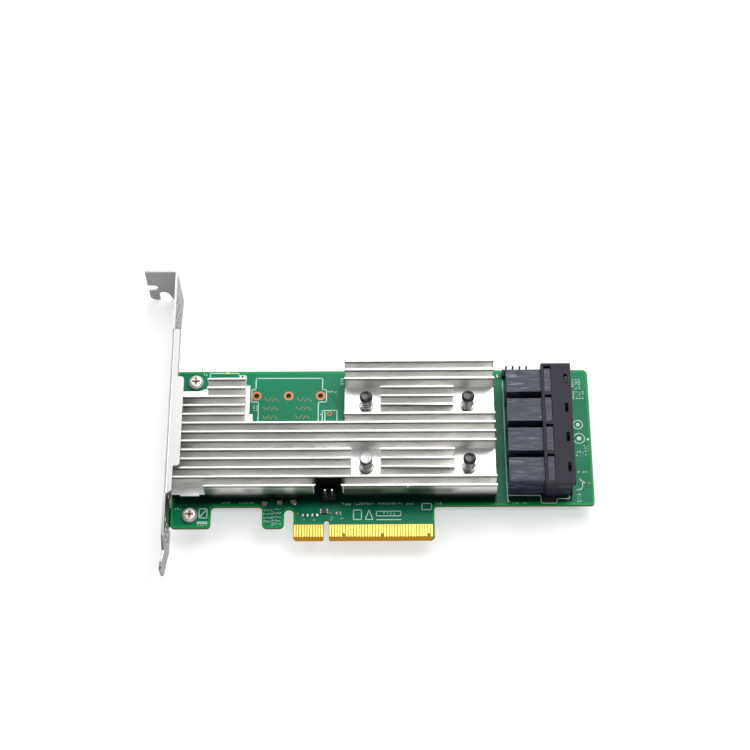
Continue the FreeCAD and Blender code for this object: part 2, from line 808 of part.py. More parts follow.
def bracket_lug(y):
    """Tapped lug folded in under the board for one bracket screw."""
    height = bend_outer + fold_flat
    tip = board_left + lug_reach
    half = bracket_lug_width / 2
    lug = outline([
        (sheet_outer, lug_bottom + height, 0),
        (sheet_outer, lug_bottom, bend_outer),
        (tip, lug_bottom, 0),
        (tip, lug_top, 0),
        (sheet_inner, lug_top, bend_inner),
        (sheet_inner, lug_bottom + height, 0),
    ], on_xz(y - half)).extrude(Vector(0, 2 * half, 0))
    plan = outline([
        (sheet_outer - 1, y - half, 0), (tip, y - half, bracket_lug_corner),
        (tip, y + half, bracket_lug_corner), (sheet_outer - 1, y + half, 0),
    ], on_xy(lug_bottom - 2)).extrude(Vector(0, 0, height + 4))
    hole = rod(screw_x, y, lug_bottom - 2, lug_top + 1, screw_radius + thread_clearance)
    return lug.common(plan).cut(hole)


def vent(y, z):
    radius = vent_size / math.sqrt(3)
    points = [Vector(sheet_outer - 1, y + radius * math.cos(math.radians(60 * k)),
                     z + radius * math.sin(math.radians(60 * k))) for k in range(6)]
    return Part.Face(Part.makePolygon(points + points[:1])).extrude(
        Vector(bracket_sheet + 2, 0, 0))


def vents():
    """Staggered rows, in one long field and a short patch below it."""
    tools = []
    low = screw_rows[0] + bracket_lug_width / 2 + relief_width + vent_above_lug
    patch = taper_start + vent_patch_start
    fields = ((low, tab_top_y - vent_below_tab), (patch, patch + vent_patch_length))
    for start, end in fields:
        for row in range(vent_rows):
            z = near_edge - vent_first_row - row * vent_row_pitch
            y = start + (row % 2) * vent_pitch / 2
            while y < end:
                tools.append(vent(y, z))
                y += vent_pitch
    return tools


def bracket():
    sheet = bracket_section().common(bracket_face())
    sheet = cut_all(sheet, tab_cuts())
    fold = bend_outer + fold_flat
    cuts = [box(sheet_outer - 1, sheet_inner + 1, lip_low, lip_high,
                near_edge - fold, near_edge + 1)]
    for y in screw_rows:
        half = bracket_lug_width / 2 + relief_width
        cuts.append(box(sheet_outer - 1, sheet_inner + 1, y - half, y + half,
                        far_edge - 1, lug_bottom + fold))
    sheet = cut_all(sheet, cuts)
    folded = [folded_lip()] + [bracket_lug(y) for y in screw_rows]
    sheet = sheet.multiFuse(folded)
    return cut_all(sheet, vents()).removeSplitter()


def bracket_screw(y):
    top = board_top + screw_head_height
    r = screw_head_radius
    tip = board_top - screw_length
    profile = [(0, tip), (screw_radius, tip), (screw_radius, board_top), (r, board_top),
               (r, top - screw_head_bevel), (r - screw_head_bevel, top), (0, top)]
    screw = turned(profile, screw_x, y)
    half, reach = recess_width / 2, recess_length / 2
    low = top - recess_depth
    cross = box(screw_x - reach, screw_x + reach, y - half, y + half, low, top + 1)
    across = box(screw_x - half, screw_x + half, y - reach, y + reach, low, top + 1)
    return screw.cut(cross.fuse(across))


# --------------------------------------------------------------- small parts

def chip_part(x, y, size):
    dx, dy, dz = size
    return box(x - dx / 2, x + dx / 2, y - dy / 2, y + dy / 2, board_top, board_top + dz)


def ended_part(x, y, size, end):
    """A ceramic block and its two metal ends."""
    dx, dy, dz = size
    whole = chip_part(x, y, size)
    body = box(x - dx / 2 + end, x + dx / 2 - end, y - dy / 2, y + dy / 2,
               board_top, board_top + dz)
    return body, whole.cut(body)


def from_belly(places):
    return [(x, belly_height + y) for x, y in places]


def build():
    save("circuit_board", circuit_board())
    save("edge_contacts", edge_contacts())
    save("heatsink", heatsink())
    save("controller_chip", controller_chip())
    save("thermal_pad", thermal_pad())
    save("power_inductors", blocks_under_left_fins(inductor_size, inductor_setback))
    save("regulator_chips", blocks_under_left_fins(regulator_size, regulator_setback))
    for number, (x, y) in enumerate(pin_places, 1):
        save("push_pin_%d" % number, push_pin(x, y))
        save("pin_spring_%d" % number, spring(x, y))
    for number, y in enumerate(port_rows, 1):
        save("port_body_%d" % number, port_body(y))
    save("port_shroud", port_shroud())
    save("two_pin_header_body", header_bodies(short_header_places))
    save("two_pin_header_pins", header_pins(short_header_places))
    save("four_pin_header_body", header_bodies(long_header_places))
    save("four_pin_header_pins", header_pins(long_header_places))
    save("bracket", bracket())
    save("bracket_screws", [bracket_screw(y) for y in screw_rows])

    bodies, ends = [], []
    for x, y in from_belly(front_capacitors):
        body, caps = ended_part(x, y, capacitor_size, capacitor_end)
        bodies.append(body)
        ends += caps.Solids
    save("capacitor_bodies", bodies)
    save("capacitor_ends", ends)
    resistors = from_belly(finger_resistors)
    resistors.append((board_left + resistor_from_left, board_height - resistor_from_top))
    save("chip_resistors", [chip_part(x, y, small_part_size) for x, y in resistors])
    save("sensor_chip", chip_part(*from_belly([sensor_place])[0], sensor_size))
    save("indicator_led", chip_part(board_left + led_from_left, board_height - led_from_top,
                                    led_size))


build()
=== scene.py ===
import math
import random

import bmesh
import bpy
from mathutils import Matrix, Vector


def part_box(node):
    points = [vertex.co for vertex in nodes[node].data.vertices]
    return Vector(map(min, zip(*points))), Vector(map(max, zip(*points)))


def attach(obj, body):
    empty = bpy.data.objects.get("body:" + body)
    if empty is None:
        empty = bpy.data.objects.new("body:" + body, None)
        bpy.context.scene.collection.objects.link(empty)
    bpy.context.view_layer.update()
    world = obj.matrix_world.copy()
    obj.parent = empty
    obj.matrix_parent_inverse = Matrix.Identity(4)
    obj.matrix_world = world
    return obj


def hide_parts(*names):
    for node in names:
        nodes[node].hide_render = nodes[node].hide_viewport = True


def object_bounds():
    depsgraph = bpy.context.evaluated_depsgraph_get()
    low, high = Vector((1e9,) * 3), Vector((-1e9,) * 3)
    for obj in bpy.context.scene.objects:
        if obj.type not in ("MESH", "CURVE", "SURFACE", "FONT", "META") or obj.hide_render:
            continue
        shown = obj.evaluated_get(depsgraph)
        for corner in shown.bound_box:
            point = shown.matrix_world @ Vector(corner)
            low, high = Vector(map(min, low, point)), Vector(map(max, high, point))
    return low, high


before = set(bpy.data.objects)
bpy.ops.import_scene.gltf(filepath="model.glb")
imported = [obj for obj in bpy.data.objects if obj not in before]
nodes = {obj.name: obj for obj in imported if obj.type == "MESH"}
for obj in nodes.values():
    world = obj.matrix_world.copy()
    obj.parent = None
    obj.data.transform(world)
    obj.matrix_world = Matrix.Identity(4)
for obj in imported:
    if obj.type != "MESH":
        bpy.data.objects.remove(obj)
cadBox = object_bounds()
mm = 0.001

# places that the other pieces are set out from, in metres
boardLow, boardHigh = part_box("circuit_board")
sinkLow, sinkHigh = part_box("heatsink")
contactLow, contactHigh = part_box("edge_contacts")
shroudLow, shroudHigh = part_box("port_shroud")
portBoxes = [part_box("port_body_%d" % number) for number in range(1, 5)]
boardTop, boardBottom, boardLeft = boardHigh.z, boardLow.z, boardLow.x

# the heatsink's front wall, its fins, and the notch in it for the header
wallSetback = 0.70 * mm
wallFront = sinkLow.y + wallSetback
finLook = {"rows": 15, "root": 1.05 * mm, "tip": 0.85 * mm}
finPitch = (sinkHigh.y - wallFront - finLook["root"]) / (finLook["rows"] - 1)
notchLook = {"middle": 0.95 * mm, "half": 5.5 * mm, "depth": 3.95 * mm, "top": 0.25 * mm}

# contacts on each side of the key, which is at x = 0, in millimetres
longSide = [1.5 + index for index in range(38)]
shortSide = [-1.5 - index for index in range(11)]


def spot(x, y):
    # millimetres from the board's left edge and above its gold edge
    return Vector((boardLeft + x * mm, y * mm))


# shader tools

def startGroup(name, inputs, outputs):
    group = bpy.data.node_groups.new(name, "ShaderNodeTree")
    for label, kind, value in inputs:
        socket = group.interface.new_socket(name=label, in_out="INPUT", socket_type=kind)
        socket.default_value = value
    for label, kind in outputs:
        group.interface.new_socket(name=label, in_out="OUTPUT", socket_type=kind)
    return group, group.nodes.new("NodeGroupInput"), group.nodes.new("NodeGroupOutput")


def addNode(tree, kind, **settings):
    node = tree.nodes.new(kind)
    for key, value in settings.items():
        setattr(node, key, value)
    return node


def feed(tree, source, target):
    tree.links.new(source, target)


def ramp(tree, source, low, high, out=(0.0, 1.0)):
    node = addNode(tree, "ShaderNodeMapRange", clamp=True)
    node.inputs["From Min"].default_value = low
    node.inputs["From Max"].default_value = high
    node.inputs["To Min"].default_value, node.inputs["To Max"].default_value = out
    feed(tree, source, node.inputs["Value"])
    return node.outputs["Result"]


def maths(tree, operation, first, second=0.0):
    node = addNode(tree, "ShaderNodeMath", operation=operation)
    for socket, value in zip(node.inputs, (first, second)):
        if isinstance(value, (int, float)):
            socket.default_value = value
        else:
            feed(tree, value, socket)
    return node.outputs["Value"]


def allOf(tree, *masks):
    whole = masks[0]
    for mask in masks[1:]:
        whole = maths(tree, "MULTIPLY", whole, mask)
    return whole


def anyOf(tree, *masks):
    whole = masks[0]
    for mask in masks[1:]:
        whole = maths(tree, "MAXIMUM", whole, mask)
    return whole


def distanceFrom(tree, source, middle):
    return maths(tree, "ABSOLUTE", maths(tree, "SUBTRACT", source, middle))


def objectPlace(tree):
    return addNode(tree, "ShaderNodeTexCoord").outputs["Object"]


def splitAxes(tree, source):
    parts = addNode(tree, "ShaderNodeSeparateXYZ")
    feed(tree, source, parts.inputs["Vector"])
    return [parts.outputs[axis] for axis in "XYZ"]


def placeOf(tree):
    return splitAxes(tree, objectPlace(tree))


def facingOf(tree):
    return splitAxes(tree, addNode(tree, "ShaderNodeNewGeometry").outputs["Normal"])


# shared shader groups: fine grain, slow cloudy change, and sparse hair lines

groupLook = {"grainDetail": 3.0, "smudgeDetail": 5.0, "smudgeRoughness": 0.6, "hairDetail": 2.0,
             "hairLine": (0.60, 0.66), "hairPatch": (0.45, 0.62), "hairPatchScale": 120.0}


def buildGrain():
    group, given, made = startGroup("grain", [("Scale", "NodeSocketFloat", 3000.0),
                                              ("Stretch", "NodeSocketVector", (1, 1, 1))],
                                    [("Value", "NodeSocketFloat")])
    turn = addNode(group, "ShaderNodeMapping")
    noise = addNode(group, "ShaderNodeTexNoise")
    noise.inputs["Detail"].default_value = groupLook["grainDetail"]
    feed(group, objectPlace(group), turn.inputs["Vector"])
    feed(group, given.outputs["Stretch"], turn.inputs["Scale"])
    feed(group, turn.outputs["Vector"], noise.inputs["Vector"])
    feed(group, given.outputs["Scale"], noise.inputs["Scale"])
    feed(group, noise.outputs["Fac"], made.inputs["Value"])
    return group


def buildSmudge():
    group, given, made = startGroup("smudge", [("Scale", "NodeSocketFloat", 60.0),
                                               ("Low", "NodeSocketFloat", 0.35),
                                               ("High", "NodeSocketFloat", 0.7)],
                                    [("Mask", "NodeSocketFloat")])
    noise = addNode(group, "ShaderNodeTexNoise")
    noise.inputs["Detail"].default_value = groupLook["smudgeDetail"]
    noise.inputs["Roughness"].default_value = groupLook["smudgeRoughness"]
    spread = addNode(group, "ShaderNodeMapRange", clamp=True)
    feed(group, objectPlace(group), noise.inputs["Vector"])
    feed(group, given.outputs["Scale"], noise.inputs["Scale"])
    feed(group, noise.outputs["Fac"], spread.inputs["Value"])
    feed(group, given.outputs["Low"], spread.inputs["From Min"])
    feed(group, given.outputs["High"], spread.inputs["From Max"])
    feed(group, spread.outputs["Result"], made.inputs["Mask"])
    return group


def buildScratches():
    # the lines are long along the stretched axis
    group, given, made = startGroup("scratches", [("Scale", "NodeSocketFloat", 400.0),
                                                  ("Turn", "NodeSocketVector", (0, 0, 0)),
                                                  ("Stretch", "NodeSocketVector", (0.05, 1, 1)),
                                                  ("Amount", "NodeSocketFloat", 0.4)],
                                    [("Mask", "NodeSocketFloat")])
    place = objectPlace(group)
    turn = addNode(group, "ShaderNodeMapping")
    squeeze = addNode(group, "ShaderNodeMapping")
    noise = addNode(group, "ShaderNodeTexNoise")
    noise.inputs["Detail"].default_value = groupLook["hairDetail"]
    where = addNode(group, "ShaderNodeTexNoise")
    where.inputs["Scale"].default_value = groupLook["hairPatchScale"]
    feed(group, place, turn.inputs["Vector"])
    feed(group, given.outputs["Turn"], turn.inputs["Rotation"])
    feed(group, turn.outputs["Vector"], squeeze.inputs["Vector"])
    feed(group, given.outputs["Stretch"], squeeze.inputs["Scale"])
    feed(group, squeeze.outputs["Vector"], noise.inputs["Vector"])
    feed(group, place, where.inputs["Vector"])
    feed(group, given.outputs["Scale"], noise.inputs["Scale"])
    line = ramp(group, noise.outputs["Fac"], *groupLook["hairLine"])
    patch = ramp(group, where.outputs["Fac"], *groupLook["hairPatch"])
    feed(group, allOf(group, line, patch, given.outputs["Amount"]), made.inputs["Mask"])
    return group


grainGroup, smudgeGroup, scratchGroup = buildGrain(), buildSmudge(), buildScratches()


def placeGroup(tree, group, **values):
    node = addNode(tree, "ShaderNodeGroup", node_tree=group)
    for key, value in values.items():
        node.inputs[key].default_value = value
    return node.outputs[0]


def mixColour(tree, factor, first, second):
    mix = addNode(tree, "ShaderNodeMix", data_type="RGBA")
    feed(tree, factor, mix.inputs["Factor"])
    for socket, value in ((mix.inputs["A"], first), (mix.inputs["B"], second)):
        if isinstance(value, tuple):
            socket.default_value = (*value, 1.0)
        else:
            feed(tree, value, socket)
    return mix.outputs["Result"]


def startMaterial(name):
    material = bpy.data.materials.new(name)
    material.use_nodes = True
    return material, material.node_tree, material.node_tree.nodes["Principled BSDF"]


def openMaterial(name):
    tree = materials[name].node_tree
    return tree, tree.nodes["Principled BSDF"]


def layOver(tree, shader, mask, colour):
    # lays one more colour over the finish, where the mask says
    target = shader.inputs["Base Color"]
    feed(tree, mixColour(tree, mask, target.links[0].from_socket, colour), target)


def addBump(tree, shader, height, strength, depth=0.02 * mm):
    bump = addNode(tree, "ShaderNodeBump")
    bump.inputs["Strength"].default_value = strength
    bump.inputs["Distance"].default_value = depth
    feed(tree, height, bump.inputs["Height"])
    feed(tree, bump.outputs["Normal"], shader.inputs["Normal"])


# what a finish has unless it says otherwise
plainLook = {"cloudScale": 60.0, "grainScale": 3000.0, "grainStretch": (1, 1, 1), "grainRoughness": 0.08,
             "fleckRange": (0.35, 0.75), "scratchScale": 500.0, "scratchTurn": (0, 0, 0),
             "scratchStretch": (0.05, 1, 1), "scratchAmount": 0.3, "metallic": 0.0, "specular": 0.5,
             "coat": 0.0, "coatRoughness": 0.15, "coatFacing": (0.5, 0.8), "bump": 0.25}


def makeFinish(name, own):
    # one coated, plated or moulded finish: cloudy colour, grain bump, hair lines
    look = {**plainLook, "fleckColour": own["colour"], "scratchColour": own["cloudColour"], **own}
    material, tree, shader = startMaterial(name)
    smudge = placeGroup(tree, smudgeGroup, Scale=look["cloudScale"])
    grain = placeGroup(tree, grainGroup, Scale=look["grainScale"], Stretch=look["grainStretch"])
    scratch = placeGroup(tree, scratchGroup, Scale=look["scratchScale"], Turn=look["scratchTurn"],
                         Stretch=look["scratchStretch"], Amount=look["scratchAmount"])
    cloudy = mixColour(tree, smudge, look["colour"], look["cloudColour"])
    flecked = mixColour(tree, ramp(tree, grain, *look["fleckRange"]), cloudy, look["fleckColour"])
    scratched = mixColour(tree, scratch, flecked, look["scratchColour"])
    feed(tree, scratched, shader.inputs["Base Color"])
    rough = ramp(tree, smudge, 0.0, 1.0, look["roughness"])
    streak = maths(tree, "MULTIPLY", grain, look["grainRoughness"])
    feed(tree, maths(tree, "ADD", rough, streak), shader.inputs["Roughness"])
    shader.inputs["Metallic"].default_value = look["metallic"]
    shader.inputs["Specular IOR Level"].default_value = look["specular"]
    shader.inputs["Coat Weight"].default_value = look["coat"]
    if "upwardSheenCoat" in look:
        # painted sheen: only faces that look upwards are coated, so tops shine more than sides
        feed(tree, ramp(tree, facingOf(tree)[2], *look["coatFacing"], (0.0, look["upwardSheenCoat"])),
             shader.inputs["Coat Weight"])
    shader.inputs["Coat Roughness"].default_value = look["coatRoughness"]
    addBump(tree, shader, maths(tree, "SUBTRACT", grain, scratch), look["bump"])
    return material


# finishes by name; cloudColour is where the colour drifts to
finishes = {
    # near white and barely metallic: a painted highlight for the lips and nick on the heatsink's front wall
    "paleLipHighlight": {"colour": (0.95, 0.95, 0.93), "cloudColour": (0.9, 0.9, 0.88), "roughness": (0.35, 0.45),
               "metallic": 0.1},
    "heatsinkAluminium": {"colour": (0.86, 0.852, 0.83), "cloudColour": (0.81, 0.802, 0.78),
                          "fleckColour": (0.9, 0.892, 0.87), "grainStretch": (0.02, 1, 1),
                          "grainScale": 5000.0, "roughness": (0.26, 0.36), "grainRoughness": 0.12,
                          "metallic": 1.0, "scratchAmount": 0.25, "scratchColour": (0.82, 0.8, 0.76),
                          "bump": 0.1},
    # paler and glossier than the faces: a painted highlight along the heatsink's eased edges
    "sinkEdgeHighlight": {"colour": (0.93, 0.93, 0.91), "cloudColour": (0.88, 0.88, 0.86), "roughness": (0.22, 0.3),
                 "metallic": 1.0, "bump": 0.05},
    "seatShade": {"colour": (0.045, 0.043, 0.04), "cloudColour": (0.09, 0.087, 0.08),
                  "roughness": (0.3, 0.5), "metallic": 1.0},
    "goldPlate": {"colour": (0.96, 0.69, 0.13), "cloudColour": (0.9, 0.61, 0.1),
                  "fleckColour": (0.98, 0.76, 0.22), "grainStretch": (1, 0.05, 1), "grainScale": 6000.0,
                  "roughness": (0.22, 0.34), "metallic": 1.0, "scratchTurn": (0, 0, 1.57),
                  "scratchAmount": 0.12, "scratchColour": (0.66, 0.47, 0.2)},
    "barePad": {"colour": (0.6, 0.22, 0.1), "cloudColour": (0.5, 0.17, 0.08), "roughness": (0.35, 0.5),
                "metallic": 0.4},
    "testLand": {"colour": (0.26, 0.19, 0.07), "cloudColour": (0.42, 0.17, 0.07), "roughness": (0.35, 0.5),
                 "cloudScale": 300.0},
    "chipMoulding": {"colour": (0.022, 0.022, 0.024), "cloudColour": (0.035, 0.035, 0.037),
                     "roughness": (0.5, 0.62), "grainScale": 5000.0, "bump": 0.5},
    "padSilicone": {"colour": (0.3, 0.32, 0.34), "cloudColour": (0.36, 0.38, 0.4), "roughness": (0.8, 0.9),
                    "bump": 0.5},
    "inductorPowder": {"colour": (0.1, 0.1, 0.105), "cloudColour": (0.15, 0.15, 0.155),
                       "roughness": (0.5, 0.7), "bump": 0.7},
    "pinNylon": {"colour": (0.01, 0.01, 0.012), "cloudColour": (0.018, 0.018, 0.02),
                 "roughness": (0.16, 0.26), "specular": 0.6},
    "capGlare": {"colour": (0.62, 0.64, 0.66), "cloudColour": (0.54, 0.56, 0.58),
                  "roughness": (0.28, 0.38), "metallic": 0.55, "bump": 0.5},
    "springWire": {"colour": (0.62, 0.62, 0.6), "cloudColour": (0.5, 0.5, 0.49), "roughness": (0.18, 0.3),
                   "metallic": 1.0},
    "portMoulding": {"colour": (0.024, 0.028, 0.048), "cloudColour": (0.034, 0.039, 0.064),
                     "fleckColour": (0.085, 0.095, 0.135), "fleckRange": (0.5, 0.74),
                     "grainStretch": (0.1, 1, 0.4), "grainScale": 1500.0, "roughness": (0.24, 0.34),
                     "scratchAmount": 0.8, "scratchScale": 900.0, "scratchStretch": (0.12, 1, 1),
                     "scratchColour": (0.19, 0.2, 0.26), "bump": 0.35, "specular": 0.06, "upwardSheenCoat": 0.4,
                     "coatRoughness": 0.3},
    "shroudMoulding": {"colour": (0.022, 0.02, 0.032), "cloudColour": (0.034, 0.031, 0.048),
                       "fleckColour": (0.018, 0.017, 0.027), "roughness": (0.42, 0.54),
                       "scratchAmount": 0.3, "scratchColour": (0.08, 0.075, 0.1), "bump": 0.45,
                       "specular": 0.06, "upwardSheenCoat": 0.24, "coatRoughness": 0.45},
    "mouldShade": {"colour": (0.006, 0.006, 0.008), "cloudColour": (0.012, 0.012, 0.014),
                   "roughness": (0.5, 0.6), "specular": 0.2},
    "headerMoulding": {"colour": (0.008, 0.008, 0.009), "cloudColour": (0.016, 0.016, 0.017),
                       "roughness": (0.4, 0.55), "specular": 0.3},
    "tinPlate": {"colour": (0.78, 0.77, 0.74), "cloudColour": (0.66, 0.65, 0.62), "roughness": (0.18, 0.3),
                 "metallic": 1.0},
    "solder": {"colour": (0.62, 0.62, 0.62), "cloudColour": (0.48, 0.48, 0.49), "roughness": (0.22, 0.4),
               "metallic": 1.0, "grainScale": 2500.0, "bump": 0.4},
    "bracketPlate": {"colour": (0.58, 0.575, 0.565), "cloudColour": (0.52, 0.515, 0.505),
                     "fleckColour": (0.7, 0.695, 0.685), "fleckRange": (0.42, 0.66),
                     "roughness": (0.28, 0.4), "metallic": 1.0, "grainScale": 2600.0, "scratchAmount": 0.3,
                     "scratchColour": (0.7, 0.69, 0.66), "scratchTurn": (0, 0, 1.2), "bump": 0.4},
    "screwNickel": {"colour": (0.92, 0.87, 0.8), "cloudColour": (0.82, 0.77, 0.7),
                    "roughness": (0.22, 0.34), "metallic": 0.6},
    "screwRecess": {"colour": (0.42, 0.3, 0.25), "cloudColour": (0.26, 0.17, 0.14),
                    "roughness": (0.35, 0.5), "metallic": 0.8, "cloudScale": 500.0},
    "ceramicTan": {"colour": (0.4, 0.27, 0.22), "cloudColour": (0.48, 0.34, 0.27),
                   "roughness": (0.35, 0.5)},
    "resistorCoat": {"colour": (0.02, 0.02, 0.022), "cloudColour": (0.05, 0.05, 0.052),
                     "roughness": (0.3, 0.45)},
    "sensorMoulding": {"colour": (0.055, 0.05, 0.07), "cloudColour": (0.08, 0.075, 0.095),
                       "roughness": (0.45, 0.6)},
    "ledResin": {"colour": (0.5, 0.62, 0.1), "cloudColour": (0.62, 0.74, 0.16), "roughness": (0.12, 0.22),
                 "coat": 0.4},
    "printInk": {"colour": (0.66, 0.86, 0.77), "cloudColour": (0.54, 0.78, 0.68), "roughness": (0.45, 0.6),
                 "bump": 0.4},
    "trackGreen": {"colour": (0.006, 0.235, 0.108), "cloudColour": (0.012, 0.27, 0.13),
                   "roughness": (0.14, 0.22), "specular": 0.15},
    "marginGreen": {"colour": (0.002, 0.31, 0.065), "cloudColour": (0.006, 0.36, 0.085),
                    "roughness": (0.14, 0.24), "specular": 0.15},
    "holeBarrelShade": {"colour": (0.3, 0.1, 0.045), "cloudColour": (0.18, 0.06, 0.03), "roughness": (0.35, 0.5),
                   "metallic": 0.7},
    "holeShade": {"colour": (0.01, 0.012, 0.01), "cloudColour": (0.018, 0.02, 0.018),
                  "roughness": (0.5, 0.7), "specular": 0.1},
}
materials = {name: makeFinish(name, look) for name, look in finishes.items()}


# board: lacquer with a faint weave, its cut edge, and bare laminate with a bevel at the contacts

boardLook = {"mask": (0.002, 0.19, 0.085), "maskLight": (0.006, 0.23, 0.11), "edge": (0.010, 0.15, 0.02),
             "core": (0.10, 0.055, 0.010), "laminate": (0.34, 0.20, 0.03), "bevel": (0.46, 0.23, 0.005),
             "cloudScale": 90.0, "cloudRange": (0.38, 0.62), "weaveScale": 620.0, "weaveBend": 1.2,
             "weaveDetail": 3.0, "weaveShow": 0.18, "weaveBump": 0.08, "sideFacing": (0.6, 0.4),
             "roughness": (0.14, 0.24), "bareRoughness": 0.5, "specular": 0.10, "bareMargin": 0.3 * mm,
             "bareFade": 0.05 * mm, "endFade": 0.02 * mm, "bevelTop": contactLow.y - 0.03 * mm,
             "bevelFade": 0.03 * mm}
# drawn shade on the board: before the heatsink's front wall, round its notch, and under the ports
shadeLook = {"colour": (0.0005, 0.012, 0.007), "reach": 3.6 * mm, "gap": 0.4 * mm, "strength": 0.92,
             "sideFade": (0.6 * mm, -0.4 * mm), "ahead": (1.6 * mm, 1.0 * mm),
             "notchFade": (6.0 * mm, 5.0 * mm), "portStrength": 0.9, "portFade": 0.5 * mm,
             "facing": (0.5, 0.6)}


def wallShade(tree, x, y):
    look = shadeLook
    foot = ramp(tree, y, wallFront - look["reach"], wallFront - look["gap"], (0.0, look["strength"]))
    beside = ramp(tree, x, *(sinkHigh.x + fade for fade in look["sideFade"]))
    ahead = ramp(tree, y, *(wallFront + fade for fade in look["ahead"]))
    notch = allOf(tree, ramp(tree, distanceFrom(tree, x, notchLook["middle"]), *look["notchFade"]),
                  ramp(tree, y, *(wallFront + fade for fade in look["notchFade"])))
    return allOf(tree, foot, beside, anyOf(tree, ahead, notch))


def portShade(tree, x, y):
    fade = shadeLook["portFade"]
    low, high = Vector((portBoxes[0][0].x, shroudLow.y)), shroudHigh
    return allOf(tree, ramp(tree, x, low.x, low.x + fade, (0.0, shadeLook["portStrength"])),
                 ramp(tree, x, high.x, high.x - fade), ramp(tree, y, high.y, high.y - fade),
                 ramp(tree, y, low.y, low.y + fade))


def weaveOf(tree):
    waves = []
    for direction in "XY":
        wave = addNode(tree, "ShaderNodeTexWave", wave_type="BANDS", bands_direction=direction)
        wave.inputs["Scale"].default_value = boardLook["weaveScale"]
        wave.inputs["Distortion"].default_value = boardLook["weaveBend"]
        wave.inputs["Detail Scale"].default_value = boardLook["weaveDetail"]
        feed(tree, objectPlace(tree), wave.inputs["Vector"])
        waves.append(wave.outputs["Fac"])
    return allOf(tree, *waves)


def makeBoardFinish():
    look = boardLook
    material, tree, shader = startMaterial("boardLacquer")
    x, y, z = placeOf(tree)
    upward = facingOf(tree)[2]
    low, high = look["cloudRange"]
    smudge = placeGroup(tree, smudgeGroup, Scale=look["cloudScale"], Low=low, High=high)
    cloth = weaveOf(tree)
    cloudy = mixColour(tree, smudge, look["mask"], look["maskLight"])
    woven = mixColour(tree, maths(tree, "MULTIPLY", cloth, look["weaveShow"]), cloudy, look["maskLight"])
    side = ramp(tree, maths(tree, "ABSOLUTE", upward), *look["sideFacing"])
    cut = mixColour(tree, ramp(tree, z, boardBottom * 0.5, boardTop * 0.5), look["core"], look["edge"])
    edged = mixColour(tree, side, woven, cut)
    margin, fade = look["bareMargin"], look["endFade"]
    bare = ramp(tree, y, contactHigh.y + margin, contactHigh.y + margin - look["bareFade"])
    for along, low in ((x, contactLow.x - margin),
                       (maths(tree, "MULTIPLY", x, -1.0), -contactHigh.x - margin)):
        bare = allOf(tree, bare, ramp(tree, along, low, low + fade))
    ends = ramp(tree, y, look["bevelTop"] + look["bevelFade"], look["bevelTop"])
    tinted = mixColour(tree, bare, edged, look["laminate"])
    amber = mixColour(tree, allOf(tree, bare, ends), tinted, look["bevel"])
    shaded = allOf(tree, anyOf(tree, wallShade(tree, x, y), portShade(tree, x, y)),
                   ramp(tree, upward, *shadeLook["facing"]))
    feed(tree, mixColour(tree, shaded, amber, shadeLook["colour"]), shader.inputs["Base Color"])
    rough = ramp(tree, smudge, 0.0, 1.0, look["roughness"])
    dullAndShade = maths(tree, "MULTIPLY", anyOf(tree, side, bare), look["bareRoughness"])
    feed(tree, anyOf(tree, rough, dullAndShade), shader.inputs["Roughness"])
    shader.inputs["Specular IOR Level"].default_value = look["specular"]
    addBump(tree, shader, cloth, look["weaveBump"])
    return material


materials["boardLacquer"] = makeBoardFinish()


# heatsink: painted shade under each fin's edge and in the notch, painted shade and reflection on the front
# wall, and painted light on a pale lug

# heights are from the fins' tops; each light is the share of the colour that is left
sinkLook = {"colour": (0.0, 0.0, 0.0), "outward": (-0.5, -0.7), "upward": (0.5, 0.7),
            "bandTop": (-0.15 * mm, -0.40 * mm), "bandFoot": (-1.45 * mm, -0.85 * mm), "bandLight": 0.30,
            "tipNear": (0.04 * mm, 0.16 * mm), "tipFar": (0.72 * mm, 0.62 * mm),
            "tipHeight": (-0.4 * mm, -0.3 * mm), "tipLight": 0.34,
            "patchScale": 42.0, "patchRange": (0.40, 0.56), "patchLight": 0.22, "patchDepth": 3.0 * mm,
            "wallTop": 1.8 * mm, "wallFoot": 2.0 * mm, "wallNear": (0.4 * mm, 0.3 * mm), "wallLight": 0.04,
            "notchFade": 1.0 * mm, "notchEdge": 0.2 * mm, "notchDrop": 0.3 * mm, "notchLight": 0.03,
            "pale": (0.96, 0.96, 0.94),
            "lugReach": 12.1 * mm, "lugDepth": 3.0 * mm, "lugFade": 0.2 * mm, "lugMetal": 0.25}


def finShade(tree, y, z, outward):
    # a band under each fin's edge, and the near side of its top
    look, top = sinkLook, sinkHigh.z
    under = ramp(tree, z, *(top + height for height in look["bandTop"]))
    band = allOf(tree, under, outward, ramp(tree, z, *(top + height for height in look["bandFoot"]),
                                            (0.0, 1.0 - look["bandLight"])))
    rows = maths(tree, "DIVIDE", maths(tree, "SUBTRACT", sinkHigh.y - finLook["root"] / 2, y), finPitch)
    near = maths(tree, "MULTIPLY", maths(tree, "FRACT", rows), finPitch)
    tip = allOf(tree, ramp(tree, near, *look["tipNear"]), ramp(tree, near, *look["tipFar"]),
                ramp(tree, z, *(top + height for height in look["tipHeight"]),
                     (0.0, 1.0 - look["tipLight"])))
    return anyOf(tree, band, tip)


def frontShade(tree, x, y, z, outward):
    # painted reflection and shade: the front wall darkens downwards, with slow patches along its length
    look, top = sinkLook, sinkHigh.z
    along = addNode(tree, "ShaderNodeTexNoise", noise_dimensions="1D")
    along.inputs["Scale"].default_value = look["patchScale"]
    feed(tree, x, along.inputs["W"])
    patch = allOf(tree, ramp(tree, along.outputs["Fac"], *look["patchRange"],
                             (0.0, 1.0 - look["patchLight"])),
                  ramp(tree, z, top, top - look["patchDepth"]))
    height = ramp(tree, z, top - look["wallTop"], sinkLow.z + look["wallFoot"])
    return allOf(tree, ramp(tree, y, *(wallFront + depth for depth in look["wallNear"])), outward,
                 anyOf(tree, height, patch), 1.0 - look["wallLight"])


